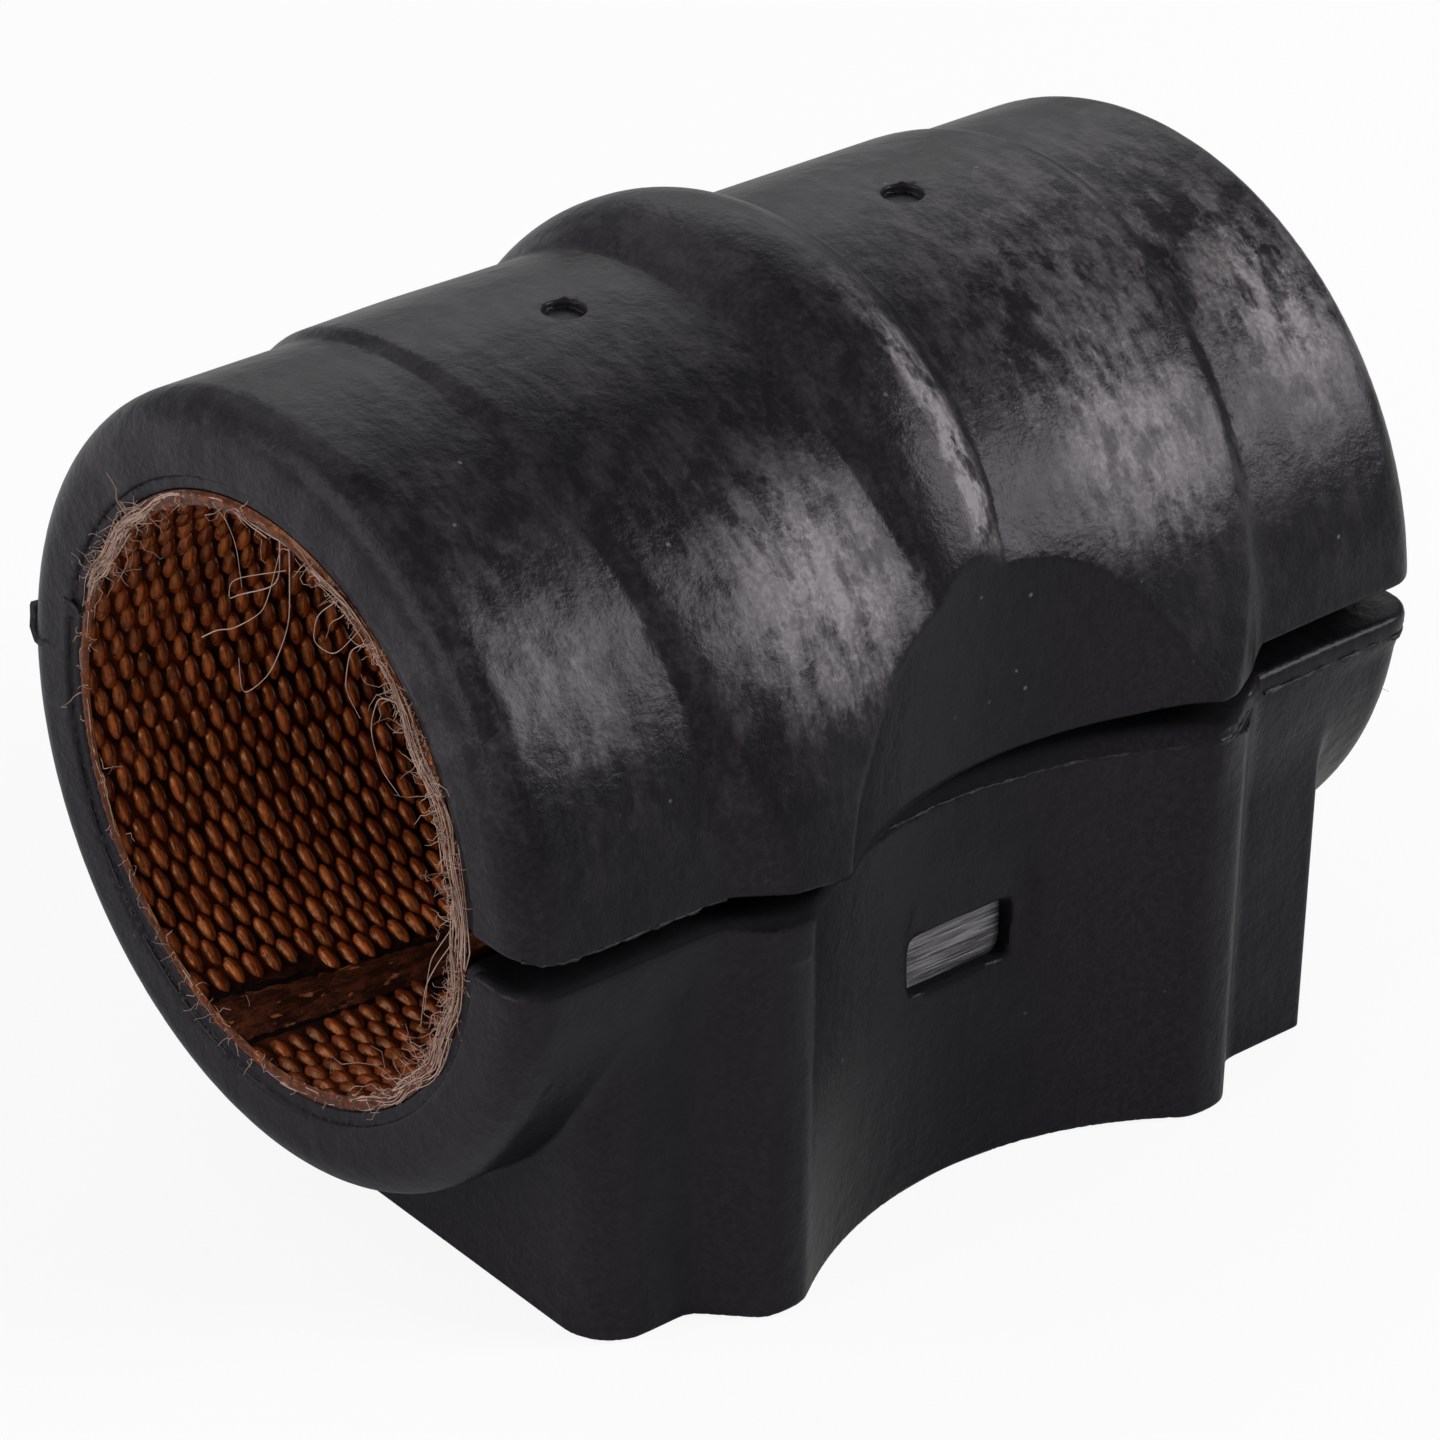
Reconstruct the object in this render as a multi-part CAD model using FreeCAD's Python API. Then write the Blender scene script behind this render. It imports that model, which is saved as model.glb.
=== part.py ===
import FreeCAD, Part
import math
import os

from FreeCAD import Vector

# Sway bar bushing. Millimetres. The bore runs along Y, the flat underside faces -Z and the
# slit opens on the +X side. The origin is the middle of the bore.

# Bore, lining and overall length
BAR_DIAMETER = 34.0
LINER_THICKNESS = 1.0
OVERALL_LENGTH = 67.0

# Round barrel: end collars, thicker shoulder between them and the bead over the middle
COLLAR_WALL = 5.5
COLLAR_LENGTH = 6.25
COLLAR_EDGE_CHAMFER = 1.6
SHOULDER_STEP = 0.5
SHOULDER_SETBACK = 6.65
SHOULDER_FLARE = 2.8
SHOULDER_FLARE_HEIGHT = 8.0
SHOULDER_FLARE_FULLNESS = 0.3
BEAD_RISE = 2.3
BEAD_CENTRE_HEIGHT = 3.2
BEAD_HALF_WIDTH = 5.6
BEAD_SWELL = 2.7
BEAD_SHIFT = -0.7

# Block under the barrel
BLOCK_FLOOR_WALL = 9.45
BLOCK_FRONT_ROUNDING = 3.4
BLOCK_REAR_ROUNDING = 0.5
BLOCK_FOOT_CHAMFER = 0.3

# Bosses on the side walls, measured out from the shoulder and in from the block's ends
BOSS_STEP = 1.5
BOSS_RISE = 3.3
BOSS_SETBACK = 9.75
BOSS_FLANK_LENGTH = 3.3
BOSS_CREST_ROUNDING = 2.5
BOSS_ROOT_ROUNDING = 1.5

# Upright hollow (pocket) between the bosses: depth from their crests, and each boss's crest length
POCKET_CREST_ROUNDING = 2.2
LOWER_POCKET_DEPTH = 5.1
LOWER_CREST_LENGTH = 1.64
LOWER_POCKET_SHIFT = 0.0
UPPER_POCKET_DEPTH = 4.7
UPPER_CREST_LENGTH = 2.53
UPPER_POCKET_SHIFT = 1.6

# Recess round the bore in each end face, where the lining ends
END_RECESS_MARGIN = 0.8
END_RECESS_DEPTH = 0.3

# Slit along the +X side, which steps up past the rear boss
SLIT_FLOOR = -1.4
SLIT_GAP = 1.6
SLIT_STEP_SETBACK = 13.5
SLIT_STEP_RUN = 0.9
SLIT_STEP_RISE = 1.4
SLIT_FRONT_FLARE = 0.45
SLIT_FRONT_FLARE_LENGTH = 3.0

# Metal channel inside the block, with the thickness of rubber that covers it
CHANNEL_SIDE_COVER = 0.8
CHANNEL_FLOOR_COVER = 2.25
CHANNEL_END_COVER = 2.25
CHANNEL_HEIGHT = 16.0
CHANNEL_THICKNESS = 2.2
CHANNEL_BEND_RADIUS = 5.0
CHANNEL_TIP_ROUNDING_SHARE = 0.48

# Window onto the channel in each pocket wall, inside a shallow flat-bottomed recess
WINDOW_DROP = 1.3
WINDOW_WIDTH = 7.6
WINDOW_HEIGHT = 3.7
WINDOW_CORNER_ROUNDING = 0.7
WINDOW_RECESS_RISE = 3.3
WINDOW_RECESS_MARGIN = 1.3
WINDOW_RECESS_DEPTH = 0.05

# Round dimples on top of the shoulder
DIMPLE_DIAMETER = 2.4
DIMPLE_DEPTH = 0.5
DIMPLE_SPACING = 24.8

# Woven face of the lining: ribs along the bore and one flat seam strip with a groove each side
WEAVE_PITCH = 1.55
WEAVE_GROOVE_WIDTH = 0.25
WEAVE_RELIEF = 0.2
SEAM_ANGLE = -104.0
SEAM_WIDTH = 3.0
SEAM_GROOVE_WIDTH = 0.5
SEAM_GROOVE_DEPTH = 0.35

# How far cutting tools reach past the surfaces that they cut
REACH = 6.0

# Two points closer than this count as one
SAME_PLACE = 1e-6

# Radii, from the bar outwards
BORE_RADIUS = BAR_DIAMETER / 2.0
LINER_OUTER_RADIUS = BORE_RADIUS + LINER_THICKNESS
COLLAR_RADIUS = LINER_OUTER_RADIUS + COLLAR_WALL
SHOULDER_RADIUS = COLLAR_RADIUS + SHOULDER_STEP
BEAD_TOP_HEIGHT = SHOULDER_RADIUS + BEAD_RISE

# Widths and depths, from the radii
BOSS_HALF_WIDTH = SHOULDER_RADIUS + BOSS_STEP
BLOCK_HALF_WIDTH = BOSS_HALF_WIDTH - BOSS_RISE
LOWER_POCKET_HALF_WIDTH = BOSS_HALF_WIDTH - LOWER_POCKET_DEPTH
UPPER_POCKET_HALF_WIDTH = BOSS_HALF_WIDTH - UPPER_POCKET_DEPTH
BLOCK_DEPTH = LINER_OUTER_RADIUS + BLOCK_FLOOR_WALL
CHANNEL_HALF_WIDTH = LOWER_POCKET_HALF_WIDTH - CHANNEL_SIDE_COVER
CHANNEL_FLOOR = CHANNEL_FLOOR_COVER - BLOCK_DEPTH
CHANNEL_LEG_TOP = CHANNEL_FLOOR + CHANNEL_HEIGHT
WINDOW_TOP = CHANNEL_LEG_TOP - WINDOW_DROP
WINDOW_BOTTOM = WINDOW_TOP - WINDOW_HEIGHT
WINDOW_RECESS_TOP = WINDOW_TOP + WINDOW_RECESS_RISE

# Lengths along the bore, from the ends inwards
HALF_LENGTH = OVERALL_LENGTH / 2.0
BLOCK_HALF_LENGTH = HALF_LENGTH - COLLAR_LENGTH
SHOULDER_HALF_LENGTH_SIDE = BLOCK_HALF_LENGTH - SHOULDER_SETBACK
SHOULDER_HALF_LENGTH_TOP = SHOULDER_HALF_LENGTH_SIDE + SHOULDER_FLARE
BOSS_OUTER_END = BLOCK_HALF_LENGTH - BOSS_SETBACK
CHANNEL_HALF_LENGTH = BLOCK_HALF_LENGTH - CHANNEL_END_COVER
SLIT_STEP_START = HALF_LENGTH - SLIT_STEP_SETBACK


def rounded_wire(corners, to_vector):
    """Closed wire through corners (a, b, radius), each corner rounded by its radius."""
    edges = []
    count = len(corners)
    tangents = []
    for i in range(count):
        a, b, radius = corners[i]
        here = Vector(a, b, 0)
        before = Vector(corners[i - 1][0], corners[i - 1][1], 0)
        after = Vector(corners[(i + 1) % count][0], corners[(i + 1) % count][1], 0)
        back = (before - here).normalize()
        ahead = (after - here).normalize()
        half_angle = back.getAngle(ahead) / 2.0
        if radius > 0:
            setback = radius / math.tan(half_angle)
            bisector = (back + ahead).normalize()
            middle = here + bisector * (radius / math.sin(half_angle) - radius)
            tangents.append((here + back * setback, middle, here + ahead * setback))
        else:
            tangents.append((here, None, here))
    for i in range(count):
        start, middle, end = tangents[i]
        if middle is not None:
            arc = Part.Arc(*[to_vector(point.x, point.y) for point in tangents[i]])
            edges.append(arc.toShape())
        next_start = tangents[(i + 1) % count][0]
        if end.distanceToPoint(next_start) > SAME_PLACE:
            line = Part.LineSegment(to_vector(end.x, end.y), to_vector(next_start.x, next_start.y))
            edges.append(line.toShape())
    return Part.Wire(edges)


def prism(corners, to_vector, sweep):
    """Solid swept from the rounded outline through corners."""
    return Part.Face(rounded_wire(corners, to_vector)).extrude(sweep)


def mirrored_x(shape):
    """Copy of shape on the other side of the YZ plane."""
    return shape.mirror(Vector(0, 0, 0), Vector(1, 0, 0))


def along_bore(radius, half_length):
    """Cylinder about the bore axis, centred on the origin."""
    return Part.makeCylinder(radius, 2 * half_length, Vector(0, -half_length, 0), Vector(0, 1, 0))


def half_space(above):
    """Large box above or below the plane through the bore axis."""
    size = 2 * (OVERALL_LENGTH + REACH)
    base = 0.0 if above else -size
    return Part.makeBox(size, size, size, Vector(-size / 2, -size / 2, base))


def barrel():
    """Full-length round barrel at the collar radius, with bevelled end edges."""
    solid = along_bore(COLLAR_RADIUS, HALF_LENGTH)
    rims = [e for e in solid.Edges if isinstance(e.Curve, Part.Circle)]
    return solid.makeChamfer(COLLAR_EDGE_CHAMFER, rims)


def side_plan(floor, height):
    """Upright prism over the plan of the block with its bosses, pockets not yet cut."""
    flank_end = BOSS_OUTER_END + BOSS_FLANK_LENGTH
    one_side = [
        (BLOCK_HALF_WIDTH, -BLOCK_HALF_LENGTH, BLOCK_FRONT_ROUNDING),
        (BLOCK_HALF_WIDTH, -flank_end, BOSS_ROOT_ROUNDING),
        (BOSS_HALF_WIDTH, -BOSS_OUTER_END, BOSS_CREST_ROUNDING),
        (BOSS_HALF_WIDTH, BOSS_OUTER_END, BOSS_CREST_ROUNDING),
        (BLOCK_HALF_WIDTH, flank_end, BOSS_ROOT_ROUNDING),
        (BLOCK_HALF_WIDTH, BLOCK_HALF_LENGTH, BLOCK_REAR_ROUNDING),
    ]
    other_side = [(-x, y, radius) for x, y, radius in reversed(one_side)]
    return prism(one_side + other_side, lambda x, y: Vector(x, y, floor), Vector(0, 0, height))


def block():
    """Lower block with its bosses and bevelled foot edge."""
    solid = side_plan(-BLOCK_DEPTH, BLOCK_DEPTH)
    foot = [e for e in solid.Edges if e.BoundBox.ZMax < -BLOCK_DEPTH + SAME_PLACE]
    return solid.makeChamfer(BLOCK_FOOT_CHAMFER, foot)


def shoulder():
    """Thicker middle of the barrel, whose skirts run tangent to the bosses at the slit."""
    tangent_angle = math.acos(SHOULDER_RADIUS / BOSS_HALF_WIDTH)
    touch_x = SHOULDER_RADIUS * math.cos(tangent_angle)
    touch_z = SHOULDER_RADIUS * math.sin(tangent_angle)
    start = -SHOULDER_HALF_LENGTH_TOP
    right_foot = Vector(BOSS_HALF_WIDTH, start, 0)
    right_touch = Vector(touch_x, start, touch_z)
    crown = Vector(0, start, SHOULDER_RADIUS)
    left_touch = Vector(-touch_x, start, touch_z)
    left_foot = Vector(-BOSS_HALF_WIDTH, start, 0)
    section = Part.Wire([
        Part.LineSegment(right_foot, right_touch).toShape(),
        Part.Arc(right_touch, crown, left_touch).toShape(),
        Part.LineSegment(left_touch, left_foot).toShape(),
        Part.LineSegment(left_foot, right_foot).toShape(),
    ])
    solid = Part.Face(section).extrude(Vector(0, 2 * SHOULDER_HALF_LENGTH_TOP, 0))
    return solid.common(shoulder_side_view()).common(side_plan(0, SHOULDER_RADIUS + REACH))


def shoulder_side_view():
    """Prism across the part that ends the shoulder: upright at the sides, flared out on top."""
    top = SHOULDER_RADIUS + REACH
    reach_x = BOSS_HALF_WIDTH + REACH
    halfway_out = SHOULDER_HALF_LENGTH_SIDE + SHOULDER_FLARE_FULLNESS * SHOULDER_FLARE
    halfway_up = (SHOULDER_FLARE_HEIGHT + SHOULDER_RADIUS) / 2.0

    def at(y, z):
        return Vector(-reach_x, y, z)

    def curve(sign):
        low = at(sign * SHOULDER_HALF_LENGTH_SIDE, SHOULDER_FLARE_HEIGHT)
        middle = at(sign * halfway_out, halfway_up)
        high = at(sign * SHOULDER_HALF_LENGTH_TOP, SHOULDER_RADIUS)
        return low, middle, high

    front_low, front_middle, front_high = curve(-1)
    rear_low, rear_middle, rear_high = curve(1)
    front_foot = at(-SHOULDER_HALF_LENGTH_SIDE, -REACH)
    rear_foot = at(SHOULDER_HALF_LENGTH_SIDE, -REACH)
    front_top = at(-SHOULDER_HALF_LENGTH_TOP, top)
    rear_top = at(SHOULDER_HALF_LENGTH_TOP, top)
    outline = Part.Wire([
        Part.LineSegment(front_foot, front_low).toShape(),
        Part.Arc(front_low, front_middle, front_high).toShape(),
        Part.LineSegment(front_high, front_top).toShape(),
        Part.LineSegment(front_top, rear_top).toShape(),
        Part.LineSegment(rear_top, rear_high).toShape(),
        Part.Arc(rear_high, rear_middle, rear_low).toShape(),
        Part.LineSegment(rear_low, rear_foot).toShape(),
        Part.LineSegment(rear_foot, front_foot).toShape(),
    ])
    return Part.Face(outline).extrude(Vector(2 * reach_x, 0, 0))


def bead():
    """Rounded bead over the middle, turned about a raised axis so that it fades at the sides."""
    crest = BEAD_TOP_HEIGHT - BEAD_CENTRE_HEIGHT
    edge = crest - BEAD_SWELL

    def at(y, radius):
        return Vector(0, y + BEAD_SHIFT, BEAD_CENTRE_HEIGHT + radius)

    profile = Part.Wire([
        Part.LineSegment(at(-BEAD_HALF_WIDTH, 0), at(-BEAD_HALF_WIDTH, edge)).toShape(),
        Part.Arc(at(-BEAD_HALF_WIDTH, edge), at(0, crest), at(BEAD_HALF_WIDTH, edge)).toShape(),
        Part.LineSegment(at(BEAD_HALF_WIDTH, edge), at(BEAD_HALF_WIDTH, 0)).toShape(),
        Part.LineSegment(at(BEAD_HALF_WIDTH, 0), at(-BEAD_HALF_WIDTH, 0)).toShape(),
    ])
    return Part.Face(profile).revolve(Vector(0, 0, BEAD_CENTRE_HEIGHT), Vector(0, 1, 0), 360)


def pocket_cutter(half_width, crest_length, shift, floor, height):
    """Upright cutter for one pocket on the +X side, with the rounded crests of its bosses."""
    crest_x = BOSS_HALF_WIDTH - POCKET_CREST_ROUNDING
    crest_y = BOSS_OUTER_END - crest_length
    rise = crest_x - half_width
    radius = (crest_y ** 2 + rise ** 2 - POCKET_CREST_ROUNDING ** 2) / (2 * (rise + POCKET_CREST_ROUNDING))
    centre_x = half_width + radius
    share = radius / (radius + POCKET_CREST_ROUNDING)
    meet_x = centre_x + (crest_x - centre_x) * share
    meet_y = crest_y * share
    half_turn = math.atan2(crest_y, centre_x - crest_x) / 2.0
    bulge_x = crest_x + POCKET_CREST_ROUNDING * math.cos(half_turn)
    bulge_y = crest_y - POCKET_CREST_ROUNDING * math.sin(half_turn)
    far_x = BOSS_HALF_WIDTH + REACH

    def at(x, y):
        return Vector(x, y + shift, floor)

    outline = Part.Wire([
        Part.LineSegment(at(far_x, -crest_y), at(BOSS_HALF_WIDTH, -crest_y)).toShape(),
        Part.Arc(at(BOSS_HALF_WIDTH, -crest_y), at(bulge_x, -bulge_y), at(meet_x, -meet_y)).toShape(),
        Part.Arc(at(meet_x, -meet_y), at(half_width, 0), at(meet_x, meet_y)).toShape(),
        Part.Arc(at(meet_x, meet_y), at(bulge_x, bulge_y), at(BOSS_HALF_WIDTH, crest_y)).toShape(),
        Part.LineSegment(at(BOSS_HALF_WIDTH, crest_y), at(far_x, crest_y)).toShape(),
        Part.LineSegment(at(far_x, crest_y), at(far_x, -crest_y)).toShape(),
    ])
    return Part.Face(outline).extrude(Vector(0, 0, height))


def slit_cutter():
    """Slit from the bore out through the +X side, drawn in side view and swept across."""
    roof = SLIT_FLOOR + SLIT_GAP
    rear_floor = SLIT_FLOOR + SLIT_STEP_RISE
    rear_roof = roof + SLIT_STEP_RISE
    front = -HALF_LENGTH - REACH
    rear = HALF_LENGTH + REACH
    flare_start = -HALF_LENGTH + SLIT_FRONT_FLARE_LENGTH
    flare_roof = roof + SLIT_FRONT_FLARE * (1.0 + REACH / SLIT_FRONT_FLARE_LENGTH)
    step_end = SLIT_STEP_START + SLIT_STEP_RUN
    corners = [
        (front, SLIT_FLOOR, 0),
        (SLIT_STEP_START, SLIT_FLOOR, 0),
        (step_end, rear_floor, 0),
        (rear, rear_floor, 0),
        (rear, rear_roof, 0),
        (step_end, rear_roof, 0),
        (SLIT_STEP_START, roof, 0),
        (flare_start, roof, 0),
        (front, flare_roof, 0),
    ]
    reach_x = BOSS_HALF_WIDTH + REACH
    return prism(corners, lambda y, z: Vector(0, y, z), Vector(reach_x, 0, 0))


def channel_solid():
    """U-shaped metal channel, drawn across the bore and swept along it."""
    outer = CHANNEL_HALF_WIDTH
    inner = outer - CHANNEL_THICKNESS
    tip = CHANNEL_THICKNESS * CHANNEL_TIP_ROUNDING_SHARE
    bend_inside = CHANNEL_BEND_RADIUS - CHANNEL_THICKNESS
    floor_inside = CHANNEL_FLOOR + CHANNEL_THICKNESS
    corners = [
        (outer, CHANNEL_LEG_TOP, tip),
        (outer, CHANNEL_FLOOR, CHANNEL_BEND_RADIUS),
        (-outer, CHANNEL_FLOOR, CHANNEL_BEND_RADIUS),
        (-outer, CHANNEL_LEG_TOP, tip),
        (-inner, CHANNEL_LEG_TOP, tip),
        (-inner, floor_inside, bend_inside),
        (inner, floor_inside, bend_inside),
        (inner, CHANNEL_LEG_TOP, tip),
    ]
    sweep = Vector(0, 2 * CHANNEL_HALF_LENGTH, 0)
    return prism(corners, lambda x, z: Vector(x, -CHANNEL_HALF_LENGTH, z), sweep)


def window_cutter():
    """Window down to the channel on the +X side, with the shallow recess over and behind it."""
    half = WINDOW_WIDTH / 2.0
    depth = BOSS_HALF_WIDTH - CHANNEL_HALF_WIDTH
    opening = prism(
        [
            (-half, WINDOW_BOTTOM, WINDOW_CORNER_ROUNDING),
            (half, WINDOW_BOTTOM, WINDOW_CORNER_ROUNDING),
            (half, WINDOW_TOP, WINDOW_CORNER_ROUNDING),
            (-half, WINDOW_TOP, WINDOW_CORNER_ROUNDING),
        ],
        lambda y, z: Vector(CHANNEL_HALF_WIDTH, y, z),
        Vector(depth, 0, 0),
    )
    recess_x = LOWER_POCKET_HALF_WIDTH - WINDOW_RECESS_DEPTH
    recess = prism(
        [
            (-half, WINDOW_BOTTOM, WINDOW_CORNER_ROUNDING),
            (half + WINDOW_RECESS_MARGIN, WINDOW_BOTTOM, WINDOW_CORNER_ROUNDING),
            (half + WINDOW_RECESS_MARGIN, WINDOW_RECESS_TOP, WINDOW_CORNER_ROUNDING),
            (-half, WINDOW_RECESS_TOP, WINDOW_CORNER_ROUNDING),
        ],
        lambda y, z: Vector(recess_x, y, z),
        Vector(BOSS_HALF_WIDTH - recess_x, 0, 0),
    )
    return opening.fuse(recess)


def dimple_cutter(y):
    """Flat-bottomed round dimple on the crown of the shoulder."""
    base = Vector(0, y, SHOULDER_RADIUS - DIMPLE_DEPTH)
    return Part.makeCylinder(DIMPLE_DIAMETER / 2.0, DIMPLE_DEPTH + REACH, base, Vector(0, 0, 1))


def rubber_body():
    """The rubber moulding: barrel, shoulder, bead and block, with every opening cut."""
    round_part = barrel()
    cut_height = BLOCK_DEPTH + REACH
    lower_cutter = pocket_cutter(
        LOWER_POCKET_HALF_WIDTH, LOWER_CREST_LENGTH, LOWER_POCKET_SHIFT, -cut_height, cut_height
    )
    upper_cutter = pocket_cutter(
        UPPER_POCKET_HALF_WIDTH, UPPER_CREST_LENGTH, UPPER_POCKET_SHIFT, 0, cut_height
    )
    lower = round_part.common(half_space(False)).fuse(block())
    lower = lower.cut(lower_cutter).cut(mirrored_x(lower_cutter))
    upper = round_part.common(half_space(True)).fuse(shoulder()).fuse(bead().common(half_space(True)))
    upper = upper.cut(upper_cutter).cut(mirrored_x(upper_cutter))
    body = lower.fuse(upper).removeSplitter()

    body = body.cut(along_bore(LINER_OUTER_RADIUS, HALF_LENGTH + REACH))
    recess_radius = LINER_OUTER_RADIUS + END_RECESS_MARGIN
    for sign in (-1, 1):
        face_y = sign * (HALF_LENGTH - END_RECESS_DEPTH)
        away = Vector(0, sign, 0)
        body = body.cut(Part.makeCylinder(recess_radius, REACH, Vector(0, face_y, 0), away))
        body = body.cut(dimple_cutter(sign * DIMPLE_SPACING / 2.0))
    body = body.cut(slit_cutter())
    body = body.cut(channel_solid())
    window = window_cutter()
    body = body.cut(window).cut(mirrored_x(window))
    return body.removeSplitter()


def bore_liner():
    """Fabric lining: ribbed inner face, flat seam strip with two grooves, open at the slit."""
    half_length = HALF_LENGTH - END_RECESS_DEPTH
    valley = BORE_RADIUS + WEAVE_RELIEF
    seam_half = math.degrees((SEAM_WIDTH / 2.0 + SEAM_GROOVE_WIDTH) / BORE_RADIUS)
    ribbed_span = 360.0 - 2 * seam_half
    count = round(math.radians(ribbed_span) * BORE_RADIUS / WEAVE_PITCH)
    first = SEAM_ANGLE + seam_half
    step = ribbed_span / count

    def at(radius, angle):
        turn = math.radians(angle)
        return Vector(radius * math.cos(turn), -half_length, radius * math.sin(turn))

    groove_half = math.degrees(WEAVE_GROOVE_WIDTH / 2.0 / BORE_RADIUS)
    edges = []
    for i in range(count):
        start = first + i * step
        middle = start + step / 2.0
        end = start + step
        crest_start = at(BORE_RADIUS, start + groove_half)
        crest_end = at(BORE_RADIUS, end - groove_half)
        edges.append(Part.LineSegment(at(valley, start), crest_start).toShape())
        edges.append(Part.Arc(crest_start, at(BORE_RADIUS, middle), crest_end).toShape())
        edges.append(Part.LineSegment(crest_end, at(valley, end)).toShape())
    strip_half = math.degrees(SEAM_WIDTH / 2.0 / BORE_RADIUS)
    groove = BORE_RADIUS + SEAM_GROOVE_DEPTH
    groove_middle = (seam_half + strip_half) / 2.0
    before = Part.LineSegment(at(valley, first - 2 * seam_half), at(groove, SEAM_ANGLE - groove_middle))
    rise = Part.LineSegment(at(groove, SEAM_ANGLE - groove_middle), at(BORE_RADIUS, SEAM_ANGLE - strip_half))
    strip = Part.Arc(
        at(BORE_RADIUS, SEAM_ANGLE - strip_half),
        at(BORE_RADIUS, SEAM_ANGLE),
        at(BORE_RADIUS, SEAM_ANGLE + strip_half),
    )
    fall = Part.LineSegment(at(BORE_RADIUS, SEAM_ANGLE + strip_half), at(groove, SEAM_ANGLE + groove_middle))
    after = Part.LineSegment(at(groove, SEAM_ANGLE + groove_middle), at(valley, first))
    edges += [piece.toShape() for piece in (before, rise, strip, fall, after)]
    hole = Part.Face(Part.Wire(Part.__sortEdges__(edges)))
    tube = along_bore(LINER_OUTER_RADIUS, half_length)
    liner = tube.cut(hole.extrude(Vector(0, 2 * half_length, 0)))
    return liner.cut(slit_cutter())


def main():
    """Write one STEP file for each piece."""
    os.makedirs("parts", exist_ok=True)
    pieces = {
        "rubber_body": rubber_body(),
        "bore_liner": bore_liner(),
        "reinforcement_channel": channel_solid(),
    }
    for name, shape in pieces.items():
        box = shape.optimalBoundingBox(False, False)
        print(name, "solids", len(shape.Solids), "valid", shape.isValid(), "volume", round(shape.Volume, 1))
        print("  size", round(box.XLength, 2), round(box.YLength, 2), round(box.ZLength, 2))
        shape.exportStep("parts/" + name + ".step")


main()
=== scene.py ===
import logging
import math
from dataclasses import dataclass
from enum import Enum

import bmesh
import bpy
import numpy as np
from mathutils import Matrix, Vector


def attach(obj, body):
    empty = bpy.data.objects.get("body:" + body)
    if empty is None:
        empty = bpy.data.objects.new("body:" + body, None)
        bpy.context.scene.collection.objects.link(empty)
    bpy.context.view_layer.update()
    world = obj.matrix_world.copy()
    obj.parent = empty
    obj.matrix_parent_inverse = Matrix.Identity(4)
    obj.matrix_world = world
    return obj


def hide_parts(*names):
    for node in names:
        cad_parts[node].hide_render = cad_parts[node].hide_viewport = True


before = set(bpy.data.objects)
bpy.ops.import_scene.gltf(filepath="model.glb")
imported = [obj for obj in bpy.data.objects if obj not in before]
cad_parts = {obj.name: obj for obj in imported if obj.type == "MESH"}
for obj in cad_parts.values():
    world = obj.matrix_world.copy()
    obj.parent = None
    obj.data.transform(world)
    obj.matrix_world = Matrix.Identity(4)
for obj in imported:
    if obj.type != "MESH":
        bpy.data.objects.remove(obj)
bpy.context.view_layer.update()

log = logging.getLogger("bushing")

Array = np.ndarray
Triple = tuple[float, float, float]
Colour = Triple
Knots = tuple[tuple[float, float], ...]
Strand = tuple[tuple[Triple, ...], tuple[float, ...]]
Socket = bpy.types.NodeSocket

MM = 0.001
WHITE = (1.0, 1.0, 1.0, 1.0)
SEED = 417
BODY = "root"
BLOOM_AND_HIGHLIGHT_ATTRIBUTE = "bloom_and_highlight"
SHADE_ATTRIBUTE = "shade"
FRONT_LIGHT_ATTRIBUTE = "dust_and_front_light"
FLOW_ATTRIBUTE = "flow"
TONE_ATTRIBUTE = "tone"


class Slot(Enum):
    """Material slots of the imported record."""

    RUBBER = "moulded_rubber"
    LINING = "woven_lining"
    METAL = "channel_metal"


def smooth_min(a: Array, b: Array, reach: float | Array) -> Array:
    """Union of two distances with a soft crease.

    Args:
        a: First signed distance.
        b: Second signed distance.
        reach: How far from the crease the blend starts, in the distances' unit.

    Returns:
        The blended distance.
    """
    share = np.maximum(reach - np.abs(a - b), 0.0) / reach
    return np.minimum(a, b) - share * share * reach * 0.25


def smooth_max(a: Array, b: Array, reach: float | Array) -> Array:
    """Intersection of two distances with a rounded edge.

    Args:
        a: First signed distance.
        b: Second signed distance.
        reach: How far from the edge the rounding starts, in the distances' unit.

    Returns:
        The rounded distance.
    """
    return -smooth_min(-a, -b, reach)


def ramp(low: float, high: float, value: Array) -> Array:
    """Smooth step from 0 at low to 1 at high."""
    t = np.clip((value - low) / (high - low), 0.0, 1.0)
    return t * t * (3.0 - 2.0 * t)


def hill(value: Array, centre: float, width: float | Array) -> Array:
    """Bell curve that is 1 at centre and falls away over width."""
    return np.exp(-(((value - centre) / width) ** 2))


def profile(knots: Knots, at: Array) -> Array:
    """Line through knots, read at the given places.

    Args:
        knots: Pairs of place and value, in rising order of place.
        at: Where the line is read.

    Returns:
        The values, constant beyond the first and last knots.
    """
    places = [knot[0] for knot in knots]
    values = [knot[1] for knot in knots]
    return np.interp(at, places, values)


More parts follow.
